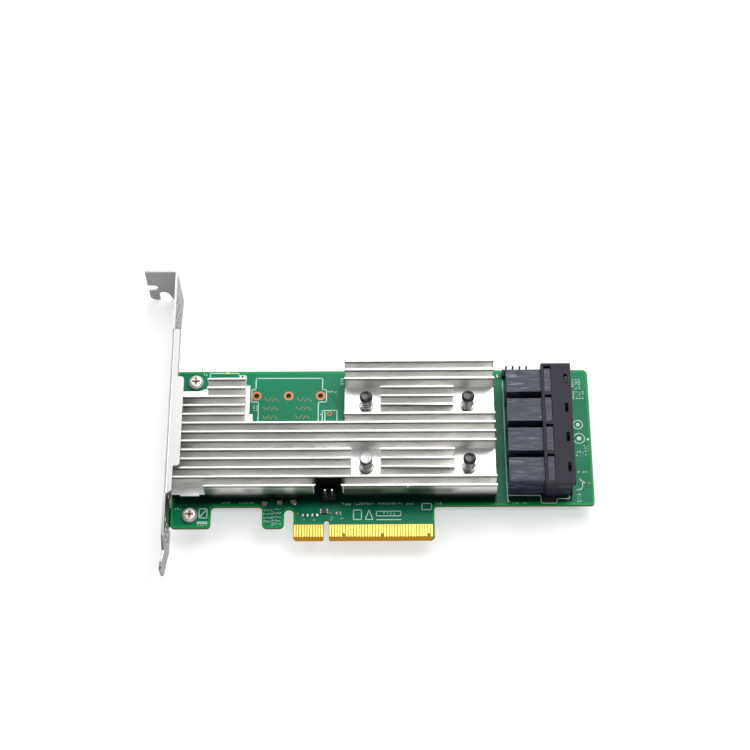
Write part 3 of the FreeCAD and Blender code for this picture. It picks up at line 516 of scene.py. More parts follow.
def notchShade(tree, x, y, z):
    look, half = sinkLook, notchLook["half"]
    deep, below = wallFront + notchLook["depth"], sinkHigh.z - notchLook["top"]
    return allOf(tree, ramp(tree, distanceFrom(tree, x, notchLook["middle"]), half + look["notchFade"],
                            half - look["notchFade"]),
                 ramp(tree, y, deep + look["notchEdge"], deep),
                 ramp(tree, z, below, below - look["notchDrop"], (0.0, 1.0 - look["notchLight"])))


def makeSinkFinish(name):
    look = sinkLook
    tree, shader = openMaterial(name)
    x, y, z = placeOf(tree)
    facing = facingOf(tree)
    outward, upward = ramp(tree, facing[1], *look["outward"]), ramp(tree, facing[2], *look["upward"])
    # painted shade and reflection on the fins, the front wall and the notch
    dullAndShade = anyOf(tree, finShade(tree, y, z, outward), frontShade(tree, x, y, z, outward),
                 notchShade(tree, x, y, z))
    # painted light: the lug at the front left corner is drawn pale and less metallic
    right, back = sinkLow.x + look["lugReach"], wallFront + look["lugDepth"]
    lug = allOf(tree, ramp(tree, x, right, right - look["lugFade"]),
                ramp(tree, y, back, back - look["lugFade"]), upward)
    feed(tree, ramp(tree, lug, 0.0, 1.0, (1.0, look["lugMetal"])), shader.inputs["Metallic"])
    layOver(tree, shader, lug, look["pale"])
    layOver(tree, shader, dullAndShade, look["colour"])


# painted shade: the bracket's tab and inner side are drawn darker than its outer side

innerLook = {"light": 0.42, "colour": (0.02, 0.02, 0.018), "outward": (-0.5, -0.7), "inward": (0.5, 0.7)}


def shadeInside():
    tree, shader = openMaterial("bracketPlate")
    x, y, z = facingOf(tree)
    inside = anyOf(tree, ramp(tree, y, *innerLook["outward"]), ramp(tree, x, *innerLook["inward"]))
    layOver(tree, shader, maths(tree, "MULTIPLY", inside, 1.0 - innerLook["light"]), innerLook["colour"])


def shadeTracks(name):
    # leads and rings under the lacquer take the same shade as the board
    tree, shader = openMaterial(name)
    x, y, z = placeOf(tree)
    layOver(tree, shader, wallShade(tree, x, y), shadeLook["colour"])


for name in ("heatsinkAluminium", "sinkEdgeHighlight"):
    makeSinkFinish(name)
shadeTracks("trackGreen")
shadeInside()
print("materials made:", len(materials))


# tools for making pieces

edgeLook = {"sharp": math.radians(35), "segments": 2, "merge": 1e-7, "flat": math.radians(0.8)}


def startShape():
    return bmesh.new()


def softenEdges(piece, width):
    soft = piece.modifiers.new("softEdges", "BEVEL")
    soft.width = width
    soft.segments = edgeLook["segments"]
    soft.limit_method = "ANGLE"
    soft.angle_limit = edgeLook["sharp"]
    soft.use_clamp_overlap = True
    soft.harden_normals = True
    soft.material = -1


def finishPiece(name, shape, material, smooth=False, bevel=None, edgeMaterial=None):
    mesh = bpy.data.meshes.new(name)
    shape.to_mesh(mesh)
    shape.free()
    mesh.polygons.foreach_set("use_smooth", [smooth or bool(bevel)] * len(mesh.polygons))
    piece = bpy.data.objects.new(name, mesh)
    bpy.context.scene.collection.objects.link(piece)
    mesh.materials.append(materials[material])
    if bevel:
        mesh.set_sharp_from_angle(angle=edgeLook["sharp"])
        softenEdges(piece, bevel)
    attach(piece, "root")
    if edgeMaterial:
        mesh.materials.append(materials[edgeMaterial])
        piece.modifiers["softEdges"].material = 1
    return piece


def addBlock(shape, low, high):
    size = Vector(high) - Vector(low)
    matrix = Matrix.Translation((Vector(high) + Vector(low)) / 2) @ Matrix.Diagonal((*size, 1.0))
    bmesh.ops.create_cube(shape, size=1.0, matrix=matrix)


def addStroke(shape, start, end, width, low, high):
    # a flat bar between two points on the board, with square ends
    run = Vector(end) - Vector(start)
    middle = (Vector(start) + Vector(end)) / 2
    turn = Matrix.Rotation(math.atan2(run.y, run.x), 4, "Z")
    matrix = (Matrix.Translation((*middle, (low + high) / 2)) @ turn
              @ Matrix.Diagonal((run.length + width, width, high - low, 1.0)))
    bmesh.ops.create_cube(shape, size=1.0, matrix=matrix)


def addPath(shape, points, width, low, high):
    for start, end in zip(points, points[1:]):
        addStroke(shape, start, end, width, low, high)


def addDisc(shape, x, y, radius, low, high, segments=16, topRadius=None):
    bmesh.ops.create_cone(shape, cap_ends=True, segments=segments, radius1=radius,
                          radius2=radius if topRadius is None else topRadius, depth=high - low,
                          matrix=Matrix.Translation((x, y, (low + high) / 2)))


def addTurned(shape, profile, x, y, segments=32):
    # spins a closed outline of radius and height about an upright axis
    corners = [shape.verts.new((x + r, y, z)) for r, z in profile]
    edges = [shape.edges.new((a, b)) for a, b in zip(corners, corners[1:] + corners[:1])]
    bmesh.ops.spin(shape, geom=corners + edges, cent=(x, y, 0), axis=(0, 0, 1), dvec=(0, 0, 0),
                   angle=2 * math.pi, steps=segments, use_merge=True)


def addRing(shape, x, y, hole, ring, low, high, segments=32):
    addTurned(shape, [(hole, low), (ring, low), (ring, high), (hole, high)], x, y, segments)


def raiseFaces(shape, faces, height):
    raised = bmesh.ops.extrude_face_region(shape, geom=faces)["geom"]
    bmesh.ops.translate(shape, verts=[item for item in raised if isinstance(item, bmesh.types.BMVert)],
                        vec=(0, 0, height))


def tidyNormals(*shapes):
    for shape in shapes:
        bmesh.ops.remove_doubles(shape, verts=shape.verts, dist=edgeLook["merge"])
        bmesh.ops.recalc_face_normals(shape, faces=shape.faces)


def dressedCopy(nodeName, pieceName, material, bevel, edgeMaterial=None):
    # the CAD solid with its edges eased
    shape = startShape()
    shape.from_mesh(nodes[nodeName].data)
    bmesh.ops.remove_doubles(shape, verts=shape.verts, dist=edgeLook["merge"])
    bmesh.ops.dissolve_limit(shape, angle_limit=edgeLook["flat"], use_dissolve_boundaries=False,
                             verts=shape.verts, edges=shape.edges, delimit=set())
    piece = finishPiece(pieceName, shape, material, bevel=bevel * mm, edgeMaterial=edgeMaterial)
    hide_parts(nodeName)


def coat(nodeName, material):
    # gives a CAD node that keeps its own mesh its finish
    node = nodes[nodeName]
    if not node.material_slots:
        node.data.materials.append(materials[material])
    for slotItem in node.material_slots:
        slotItem.material = materials[material]


# nodes that keep the CAD mesh, then those with eased edges

plainCoats = {"circuit_board": "boardLacquer", "edge_contacts": "goldPlate",
              "controller_chip": "chipMoulding", "thermal_pad": "padSilicone",
              "power_inductors": "inductorPowder", "regulator_chips": "chipMoulding",
              "two_pin_header_pins": "tinPlate", "four_pin_header_pins": "tinPlate",
              "capacitor_bodies": "ceramicTan", "capacitor_ends": "tinPlate",
              "chip_resistors": "resistorCoat", "sensor_chip": "sensorMoulding",
              "indicator_led": "ledResin"}
# width of the eased edge in millimetres
easedEdge = {"heatsink": 0.10, "bracket": 0.10, "shroud": 0.16, "port": 0.14, "pin": 0.14, "screw": 0.12,
             "header": 0.08}

for nodeName, material in plainCoats.items():
    coat(nodeName, material)
print("plain nodes coated:", len(plainCoats))

dressedCopy("heatsink", "heatsinkBlock", "heatsinkAluminium", easedEdge["heatsink"],
            "sinkEdgeHighlight")
dressedCopy("bracket", "slotBracket", "bracketPlate", easedEdge["bracket"])
dressedCopy("port_shroud", "portShroud", "shroudMoulding", easedEdge["shroud"])
for number in range(1, 5):
    dressedCopy("port_body_%d" % number, "portBody%d" % number, "portMoulding",
                easedEdge["port"])
    dressedCopy("push_pin_%d" % number, "pushPin%d" % number, "pinNylon", easedEdge["pin"])
dressedCopy("bracket_screws", "bracketScrews", "screwNickel", easedEdge["screw"])
for nodeName, pieceName in (("two_pin_header_body", "twoPinHeader"),
                            ("four_pin_header_body", "fourPinHeader")):
    dressedCopy(nodeName, pieceName, "headerMoulding", easedEdge["header"])
print("dressed copies made")


# springs: round wire wound as one helix, each with a thin dark ring round its foot on the heatsink, painted
# shade at the rim of its hole

springLook = {"wire": 0.30 * mm, "turns": 3.25, "steps": 26, "sides": 8, "seatGap": 0.15 * mm,
              "seatWidth": 0.32 * mm, "seatRise": 0.03 * mm}


def makeSpring(number, seatShadeRings):
    look, wire = springLook, springLook["wire"]
    low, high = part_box("pin_spring_%d" % number)
    middle = (low + high) / 2
    outside = (high.x - low.x) / 2
    shape = startShape()
    ring = bmesh.ops.create_circle(shape, cap_ends=False, segments=look["sides"], radius=wire,
                                   matrix=Matrix.Rotation(math.radians(90), 4, "X"))["verts"]
    bmesh.ops.translate(shape, verts=ring, vec=(middle.x + outside - wire, middle.y, low.z + wire))
    steps = round(look["turns"] * look["steps"])
    rise = (high.z - low.z - 2 * wire) / steps
    bmesh.ops.spin(shape, geom=list(shape.verts) + list(shape.edges), cent=(middle.x, middle.y, 0),
                   axis=(0, 0, 1), dvec=(0, 0, rise), angle=2 * math.pi * look["turns"], steps=steps,
                   use_merge=False)
    loops = [edge for edge in shape.edges if edge.is_boundary]
    bmesh.ops.holes_fill(shape, edges=loops, sides=look["sides"])
    tidyNormals(shape)
    piece = finishPiece("pinSpring%d" % number, shape, "springWire", smooth=True)
    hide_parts("pin_spring_%d" % number)
    # the dark ring round the spring's foot is painted shade at the rim of its hole
    hole = outside + look["seatGap"]
    addRing(seatShadeRings, middle.x, middle.y, hole, hole + look["seatWidth"], low.z, low.z + look["seatRise"])


def makeSprings():
    seatShadeRings = startShape()
    for number in range(1, 5):
        makeSpring(number, seatShadeRings)
    tidyNormals(seatShadeRings)
    finishPiece("springSeatShade", seatShadeRings, "seatShade")


makeSprings()
print("springs wound")


# the heads' moulded caps: a raised rim round a shallow dish; one is pale silver, a painted reflection of the
# glare on that head

capLook = {"rim": 0.80, "dish": 0.62, "rise": 0.14 * mm, "floor": 0.02 * mm, "sunk": 0.05 * mm,
           "paleNumber": 3, "paleRim": 0.90, "segments": 40,
           # radius as a share of the rim or dish, and height as a share of the rise
           "rimShape": ((1.0, 0.3), (0.95, 0.85), (0.89, 1.0), (0.83, 0.85)),
           "dishShape": ((1.0, 0.42), (0.5, 0.15))}


def makeCap(number):
    look = capLook
    low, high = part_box("push_pin_%d" % number)
    middle, radius, top = (low + high) / 2, (high.x - low.x) / 2, high.z
    # the pale cap is a painted reflection of glare on that head
    pale = number == look["paleNumber"]
    rim = radius * (look["paleRim"] if pale else look["rim"])
    dish = rim * look["dish"] / look["rim"]
    profile = [(0, top - look["sunk"]), (rim, top - look["sunk"])]
    for width, points in ((rim, look["rimShape"]), (dish, look["dishShape"])):
        profile += [(share * width, top + height * look["rise"]) for share, height in points]
    profile.append((0, top + look["floor"]))
    shape = startShape()
    addTurned(shape, profile, middle.x, middle.y, look["segments"])
    tidyNormals(shape)
    finishPiece("pinCap%d" % number, shape, "capGlare" if pale else "pinNylon", smooth=True)


for number in range(1, 5):
    makeCap(number)
print("pin caps turned")


# front wall of the heatsink: lips at the ends of the header's notch, and one nick, drawn near white as a
# painted highlight on their cut edges

lipLook = {"reach": 0.42 * mm, "width": 0.26 * mm, "drop": 5.6 * mm, "half": 5.3 * mm, "sunk": 0.02 * mm,
           "nickX": 87.0, "nickSize": 0.5 * mm, "nickDrop": 1.2 * mm, "bevel": 0.04 * mm}


def makeWallLips():
    look, top, front = lipLook, sinkHigh.z, wallFront - lipLook["sunk"]
    shape = startShape()
    for side in (-1, 1):
        x = notchLook["middle"] + side * look["half"]
        inner, outer = sorted((x, x + side * look["width"]))
        addBlock(shape, (inner, front, top - look["drop"]), (outer, wallFront + look["reach"], top))
    nick, half = spot(look["nickX"], 0).x, look["nickSize"] / 2
    addBlock(shape, (nick - half, front, top - look["nickDrop"]), (nick + half, wallFront + half, top))
    finishPiece("wallLips", shape, "paleLipHighlight", bevel=look["bevel"])


makeWallLips()


# last stretch of the third fin, which runs on past the screw corner to the bracket

cornerFinLook = {"row": 4, "start": 0.05 * mm, "length": 12.1 * mm, "height": 7.0 * mm}


def makeCornerFin():
    look, half = cornerFinLook, finLook["root"] / 2
    y = sinkHigh.y - half - look["row"] * finPitch
    shape = startShape()
    addBlock(shape, (sinkLow.x + look["start"], y - half, sinkHigh.z - look["height"]),
             (sinkLow.x + look["length"], y + half, sinkHigh.z))
    for corner in shape.verts:
        if corner.co.z > sinkHigh.z - look["height"] / 2:
            corner.co.y = y + (corner.co.y - y) * finLook["tip"] / finLook["root"]
    finishPiece("cornerFin", shape, "heatsinkAluminium",
                bevel=easedEdge["heatsink"] * mm, edgeMaterial="sinkEdgeHighlight")


makeCornerFin()
print("heatsink finished")


# ports: moulded lines on the tops drawn as dark strips, painted shade of the grooves; ribs on the near
# sides; a dark sill along the foot of each mouth, painted shade inside the mouths

portLook = {"half": 4.575 * mm, "top": 12.87 * mm, "grooveLength": 5.75 * mm, "grooveSlant": 0.25 * mm,
            "grooveWidth": 0.22 * mm, "grooveIn": 0.95 * mm, "grooveBack": 0.35 * mm,
            "grooveThick": 0.02 * mm, "ribHeights": (2.6, 5.4, 8.2, 11.0), "ribBack": 0.3 * mm,
            "ribDepth": 0.07 * mm, "ribWidth": 0.22 * mm, "ribSunk": 0.02 * mm, "ribBevel": 0.03 * mm}
sillLook = {"half": 4.95 * mm, "rise": 1.5 * mm, "setback": 0.10 * mm, "gap": 0.05 * mm, "bevel": 0.05 * mm}


def makePortTrim():
    look = portLook
    grooveShades, ribs, sillShades = startShape(), startShape(), startShape()
    top = boardTop + look["top"]
    for low, high in portBoxes:
        middle = (low.y + high.y) / 2
        start = Vector((low.x + look["grooveBack"], middle + look["half"] - look["grooveIn"]))
        end = start + Vector((look["grooveLength"], -look["grooveSlant"]))
        # a dark strip on the top: painted shade of the groove
        addStroke(grooveShades, start, end, look["grooveWidth"], top, top + look["grooveThick"])
        side = middle - look["half"]
        for height in look["ribHeights"]:
            z = boardTop + height * mm
            addBlock(ribs, (low.x + look["ribBack"], side - look["ribDepth"], z),
                     (shroudLow.x, side + look["ribSunk"], z + look["ribWidth"]))
        # a dark sill at the mouth's foot: painted shade inside the mouth
        addBlock(sillShades, (high.x + sillLook["gap"], middle - sillLook["half"], boardTop),
                 (shroudHigh.x - sillLook["setback"], middle + sillLook["half"],
                  boardTop + sillLook["rise"]))
    finishPiece("portGrooveShade", grooveShades, "mouldShade")
    finishPiece("portRibs", ribs, "portMoulding", bevel=look["ribBevel"])
    finishPiece("portSillShade", sillShades, "mouldShade", bevel=sillLook["bevel"])


makePortTrim()
print("port trim set")


# brown shade in the screws' cross recesses

recessLook = {"width": 0.84 * mm, "length": 3.08 * mm, "sink": 0.55 * mm, "thick": 0.05 * mm}


def makeRecesses():
    low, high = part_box("bracket_screws")
    radius = (high.x - low.x) / 2
    floor = high.z - recessLook["sink"]
    arms = (recessLook["length"], recessLook["width"])
    shape = startShape()
    for y in (low.y + radius, high.y - radius):
        for across, along in (arms, arms[::-1]):
            half = Vector((across / 2, along / 2, recessLook["thick"] / 2))
            middle = Vector(((low.x + high.x) / 2, y, floor + half.z))
            addBlock(shape, middle - half, middle + half)
    finishPiece("screwRecesses", shape, "screwRecess")


makeRecesses()
print("screw recesses shaded")


# lacquer over bare laminate: a brighter margin all round the board

marginLook = {"width": 0.85 * mm, "thick": 0.012 * mm, "segments": 5,
              "goldFrom": 50, "goldTop": 7.2 * mm, "goldArea": 20 * mm * mm}
# corners in millimetres, each with its radius
boardCorners = [(0, 5.0, 1.5), (14.6, 5.0, 1.5), (14.6, 13.4, 1.5), (33.5, 13.4, 1.5), (33.5, 4.9, 1.8),
                (41.55, 4.9, 1.8), (41.55, 12.4, 1.7), (45.05, 12.4, 1.7), (45.05, 6.6, 0),
                (96.75, 6.6, 0), (96.75, 13.4, 1.2), (155.65, 13.4, 1.2), (155.65, 68.9, 2.0),
                (0, 68.9, 0)]


def isOverGold(face):
    # the strip of margin along the long row of contacts, which carries no lacquer
    middle = face.calc_center_median()
    return (len(face.verts) == 4 and face.calc_area() > marginLook["goldArea"]
            and middle.y < marginLook["goldTop"] and middle.x > spot(marginLook["goldFrom"], 0).x)


def makeMarginSheet(low, high):
    sheet = startShape()
    corners = [(sheet.verts.new((*spot(x, y), low)), radius) for x, y, radius in boardCorners]
    sheet.faces.new([corner for corner, radius in corners])
    for corner, radius in corners:
        if radius:
            bmesh.ops.bevel(sheet, geom=[corner], offset=radius * mm, offset_type="OFFSET", profile=0.5,
                            segments=marginLook["segments"], affect="VERTICES", material=-1)
    outer = list(sheet.faces)
    bmesh.ops.inset_region(sheet, faces=outer, use_boundary=True, use_even_offset=True,
                           thickness=marginLook["width"])
    gold = [face for face in sheet.faces if face not in outer and isOverGold(face)]
    bmesh.ops.delete(sheet, geom=outer + gold, context="FACES")
    raiseFaces(sheet, list(sheet.faces), high - low)
    bmesh.ops.recalc_face_normals(sheet, faces=sheet.faces)
    mesh = bpy.data.meshes.new("marginPart")
    sheet.to_mesh(mesh)
    sheet.free()
    return mesh


def makeMargin():
    shape = startShape()
    thick = marginLook["thick"]
    for low, high in ((boardTop, boardTop + thick), (boardBottom - thick, boardBottom)):
        mesh = makeMarginSheet(low, high)
        shape.from_mesh(mesh)
        bpy.data.meshes.remove(mesh)
    finishPiece("boardMargin", shape, "marginGreen")


makeMargin()
print("board margin laid")


# copper left bare on the board; the hole barrels are drawn dark and reach over each pad's inner edge, and
# the small holes get dark discs, both as painted shade; places and small sizes in millimetres

copperLook = {"thick": 0.035 * mm, "ring": 1.85 * mm, "hole": 1.12 * mm, "barrel": 0.86 * mm, "segments": 40,
              "places": ((30.2, 58.5), (42.3, 58.5), (54.4, 58.5)), "smallSegments": 20, "smallShade": 0.3,
              # place, then radius of the hole and of the ring
              "small": ((57.86, 51.0, 0.42, 0.85), (46.56, 10.51, 0.14, 0.34), (58.66, 10.65, 0.14, 0.34),
                        (48.8, 8.13, 0.14, 0.34), (52.72, 7.84, 0.14, 0.34), (154.05, 22.1, 0.12, 0.32))}
# slanted test lands, leaning by turns, in two groups of three rows
landLook = {"width": 0.30 * mm, "across": 0.95, "up": 1.25, "starts": (33.6, 46.0),
            "rows": (57.1, 53.4, 49.8), "rowShift": 0.3,
            # place along the row, drop below it, and lean
            "columns": ((0.0, 0.0, 1), (1.55, 0.0, -1), (2.95, 0.3, -1), (4.5, 0.3, 1))}


def makeLands(top, thick):
    lands = startShape()
    for start in landLook["starts"]:
        for row, y in enumerate(landLook["rows"]):
            for along, drop, lean in landLook["columns"]:
                middle = spot(start + along - landLook["rowShift"] * row, y - drop)
                half = Vector((-lean * landLook["across"], landLook["up"])) * 0.5 * mm
                addStroke(lands, middle + half, middle - half, landLook["width"], top, top + thick)
    return lands


def makeCopper():
    shape, barrelShades, shade = startShape(), startShape(), startShape()
    top, thick, sides = boardTop, copperLook["thick"], copperLook["segments"]
    for x, y in (spot(*place) for place in copperLook["places"]):
        for low, high in ((top, top + thick), (boardBottom - thick, boardBottom)):
            addRing(shape, x, y, copperLook["hole"], copperLook["ring"], low, high, sides)
        # the barrel is the hole's plating, drawn dark and wider than the hole as painted shade
        addRing(barrelShades, x, y, copperLook["barrel"], copperLook["hole"], boardBottom - thick, top + thick,
                sides)
    lands = makeLands(top, thick)
    for x, y, hole, ring in copperLook["small"]:
        centre, sides = spot(x, y), copperLook["smallSegments"]
        addRing(shape, centre.x, centre.y, hole * mm, ring * mm, top, top + thick, sides)
        # a dark disc over each small hole: painted shade
        addDisc(shade, centre.x, centre.y, hole * mm, top, top + copperLook["smallShade"] * thick, sides)
    tidyNormals(shape, barrelShades, shade, lands)
    finishPiece("bareCopper", shape, "barePad")
    finishPiece("testLands", lands, "testLand")
    finishPiece("holeBarrelShades", barrelShades, "holeBarrelShade")
    finishPiece("smallHoleShade", shade, "holeShade")


makeCopper()
print("bare copper laid")


# printed outlines and generic marks

printLook = {"line": 0.34 * mm, "fine": 0.20 * mm, "thick": 0.024 * mm, "seed": 5, "strokes": 2,
             # where a mark's short strokes start, and how far they run
             "across": (-0.3, 0.3), "foot": (-0.5, 0.1), "run": (0.3, 0.6),
             # place, radius and hub of the rings beside the ports; then the dots
             "rings": ((151.0, 45.9, 1.9, 0.75), (151.2, 40.2, 2.2, 0.85)), "ringWidth": 0.3,
             "ringSegments": 32, "hubSegments": 20,
             "dots": ((154.5, 39.8), (123.9, 15.0)), "dotRadius": 0.5 * mm, "dotSegments": 8}
printedOutlines = [
    [(30.9, 48.0), (30.9, 56.0), (28.3, 56.0), (28.3, 61.2), (29.8, 61.2), (29.8, 66.0), (55.1, 65.9),
     (55.1, 61.1), (56.6, 61.1), (56.6, 55.9), (53.6, 55.9), (53.6, 48.0)],
    [(55.1, 48.0), (55.1, 52.35), (60.65, 52.35), (60.65, 48.0)],
    [(56.1, 48.0), (56.1, 52.35)],
    [(54.5, 50.7), (55.1, 50.7)],
    [(12.24, 64.9), (12.24, 68.2), (23.1, 68.2), (23.1, 67.3), (26.0, 67.3), (26.0, 64.6)],
    [(123.4, 64.5), (123.6, 25.6), (123.8, 15.1)],
    [(124.1, 17.3), (136.0, 17.2), (136.0, 14.1), (141.7, 14.1), (141.9, 15.9), (146.5, 15.9),
     (146.5, 19.0)],
    [(62.0, 65.6), (62.9, 65.6)],
    [(62.0, 64.6), (62.9, 64.6)],
    [(62.0, 63.5), (62.9, 63.5)],
    [(150.6, 23.6), (151.6, 22.6), (151.6, 20.6), (150.7, 19.4)],
    [(151.9, 22.7), (152.4, 22.1)],
    # generic panel, square, triangle and bars below the heatsink
    [(67.1, 8.0), (67.1, 11.8), (70.0, 11.8), (70.0, 8.0), (67.1, 8.0)],
    [(71.4, 8.0), (72.8, 11.8), (74.2, 8.0), (71.4, 8.0)],
    [(75.5, 9.4), (75.5, 11.2), (84.4, 11.2), (84.4, 9.4), (75.5, 9.4)],
    [(75.6, 7.9), (84.4, 7.9)],
    [(92.2, 11.8), (92.2, 14.2), (95.7, 14.2), (95.7, 11.8), (92.2, 11.8)],
    # generic square and bar beside the lower screw
    [(10.4, 8.9), (10.4, 12.5), (13.3, 12.5), (13.3, 8.9), (10.4, 8.9)],
    [(9.9, 7.3), (13.4, 7.3)],
    [(10.5, 9.0), (13.2, 12.4)],
    [(9.8, 6.75), (13.5, 6.75)],
]
# place, marks in a row, size, pitch, and where they differ: upright, rows, pitch of the rows
markRows = [(63.2, 14.1, 4, 0.75, 0.85), (67.4, 14.1, 9, 0.75, 0.85), (76.4, 14.1, 11, 0.75, 0.83),
            (86.8, 14.1, 4, 0.75, 0.8), (97.3, 14.2, 3, 0.8, 0.9), (125.8, 14.2, 3, 0.6, 0.75),
            (129.8, 14.2, 2, 0.6, 0.75), (18.4, 14.7, 5, 0.55, 0.75), (25.1, 14.7, 8, 0.55, 0.78),
            (1.5, 12.5, 3, 0.8, 0.95), (10.2, 6.2, 4, 0.75, 0.95), (62.6, 8.5, 2, 0.6, 0.8),
            (59.15, 7.9, 2, 0.6, 0.9, True), (57.5, 60.2, 5, 0.75, 0.75),
            (29.3, 52.6, 3, 0.9, 0.9, True, 2, 0.9), (9.9, 67.6, 2, 0.9, 1.0), (33.9, 12.0, 5, 0.62, 0.72),
            (34.2, 10.4, 4, 0.62, 0.78), (33.9, 8.8, 5, 0.62, 0.72), (34.2, 7.4, 4, 0.62, 0.74),
            (37.9, 12.2, 4, 0.62, 0.76), (37.9, 10.6, 4, 0.62, 0.76), (37.9, 9.1, 4, 0.62, 0.76),
            (37.9, 7.7, 4, 0.62, 0.76), (37.9, 6.4, 4, 0.62, 0.76), (37.3, 6.0, 7, 0.5, 0.9, True),
            (149.9, 60.9, 5, 0.9, 0.95, True, 3, 1.2), (150.0, 56.8, 4, 0.9, 0.9, True, 4, 1.2),
            (150.2, 34.6, 4, 0.9, 1.1, False, 2, 1.2), (153.3, 35.2, 3, 0.9, 1.0, True, 2, 0.9),
            (150.3, 26.7, 1, 1.0, 1.0), (152.2, 26.6, 2, 0.9, 0.9),
            (149.7, 15.0, 6, 1.0, 0.9, True, 2, 0.8), (78.2, 10.3, 4, 0.9, 1.3)]

def addMarks(shape, dice, x, y, count, size, pitch, upright=False, rows=1, rowPitch=0):
    # rows of short strokes where the card is lettered; they spell nothing
    look = printLook
    for row in range(rows):
        for item in range(count):
            for _ in range(look["strokes"]):
                start = Vector((dice.uniform(*look["across"]), dice.uniform(*look["foot"])))
                end = Vector((dice.uniform(*look["across"]), start.y + dice.uniform(*look["run"])))
                ends = []
                for point in (start, end):
                    place = point * size + Vector((item * pitch, -row * rowPitch))
                    ends.append(spot(x, y) + (Vector((-place.y, place.x)) if upright else place) * mm)
                addStroke(shape, *ends, look["fine"], boardTop, boardTop + look["thick"])


def makePrint():
    look, low, high = printLook, boardTop, boardTop + printLook["thick"]
    shape = startShape()
    dice = random.Random(look["seed"])
    for points in printedOutlines:
        addPath(shape, [spot(x, y) for x, y in points], look["line"], low, high)
    for marks in markRows:
        addMarks(shape, dice, *marks)
    for x, y, outer, hub in look["rings"]:
        centre = spot(x, y)
        addRing(shape, centre.x, centre.y, (outer - look["ringWidth"]) * mm, outer * mm, low, high,
                look["ringSegments"])
        addDisc(shape, centre.x, centre.y, hub * mm, low, high, look["hubSegments"])
    for x, y in look["dots"]:
        centre = spot(x, y)
        addDisc(shape, centre.x, centre.y, look["dotRadius"], low, high, look["dotSegments"])
    tidyNormals(shape)
    finishPiece("printedMarks", shape, "printInk")


makePrint()
print("printed marks laid")


# tracks and vias under the lacquer, each via with a dark disc as painted shade in its hole, set out in
# millimetres

trackLook = {"width": 0.20 * mm, "thick": 0.016 * mm, "viaRing": 0.30 * mm, "viaHole": 0.13 * mm,
             "viaRise": 0.02 * mm, "viaFill": 0.2, "viaSegments": 12,
             # leads that fan out from the contacts: where they turn, how far they lean, where they end
             "fanTurn": 7.6, "fanStep": 0.9, "fanMiddle": 90.0, "fanLean": 0.035, "fanEnd": 17.2,
             # how many, where the first lies, and the pitch
             "pairs": (9, 20.5, 4.9), "pairGap": 0.42, "edgeLeads": (7, 18.0, 6.6),
             "openLeads": (6, 43.5, 1.1), "cornerLeads": (5, 58.6, 0.9), "ports": (4, 22.3, 11.93),
             "lanes": (6, -2.5 * 0.62, 0.62), "backLeads": (14, 62.0, 2.05)}
loneVias = [(27.0, 63.0), (27.9, 66.6), (61.9, 67.2), (59.3, 66.9), (62.6, 45.5), (62.4, 54.2),
            (38.0, 62.6), (44.5, 62.6), (50.0, 62.6), (36.4, 64.3), (48.3, 64.4), (9.0, 15.3),
            (66.8, 13.0), (71.0, 12.9), (113.4, 14.7), (117.8, 14.6), (119.7, 15.0), (120.9, 15.4)]


def leadRow(name):
    # index and place of each lead in a row
    count, first, pitch = trackLook[name]
    return [(index, first + index * pitch) for index in range(count)]


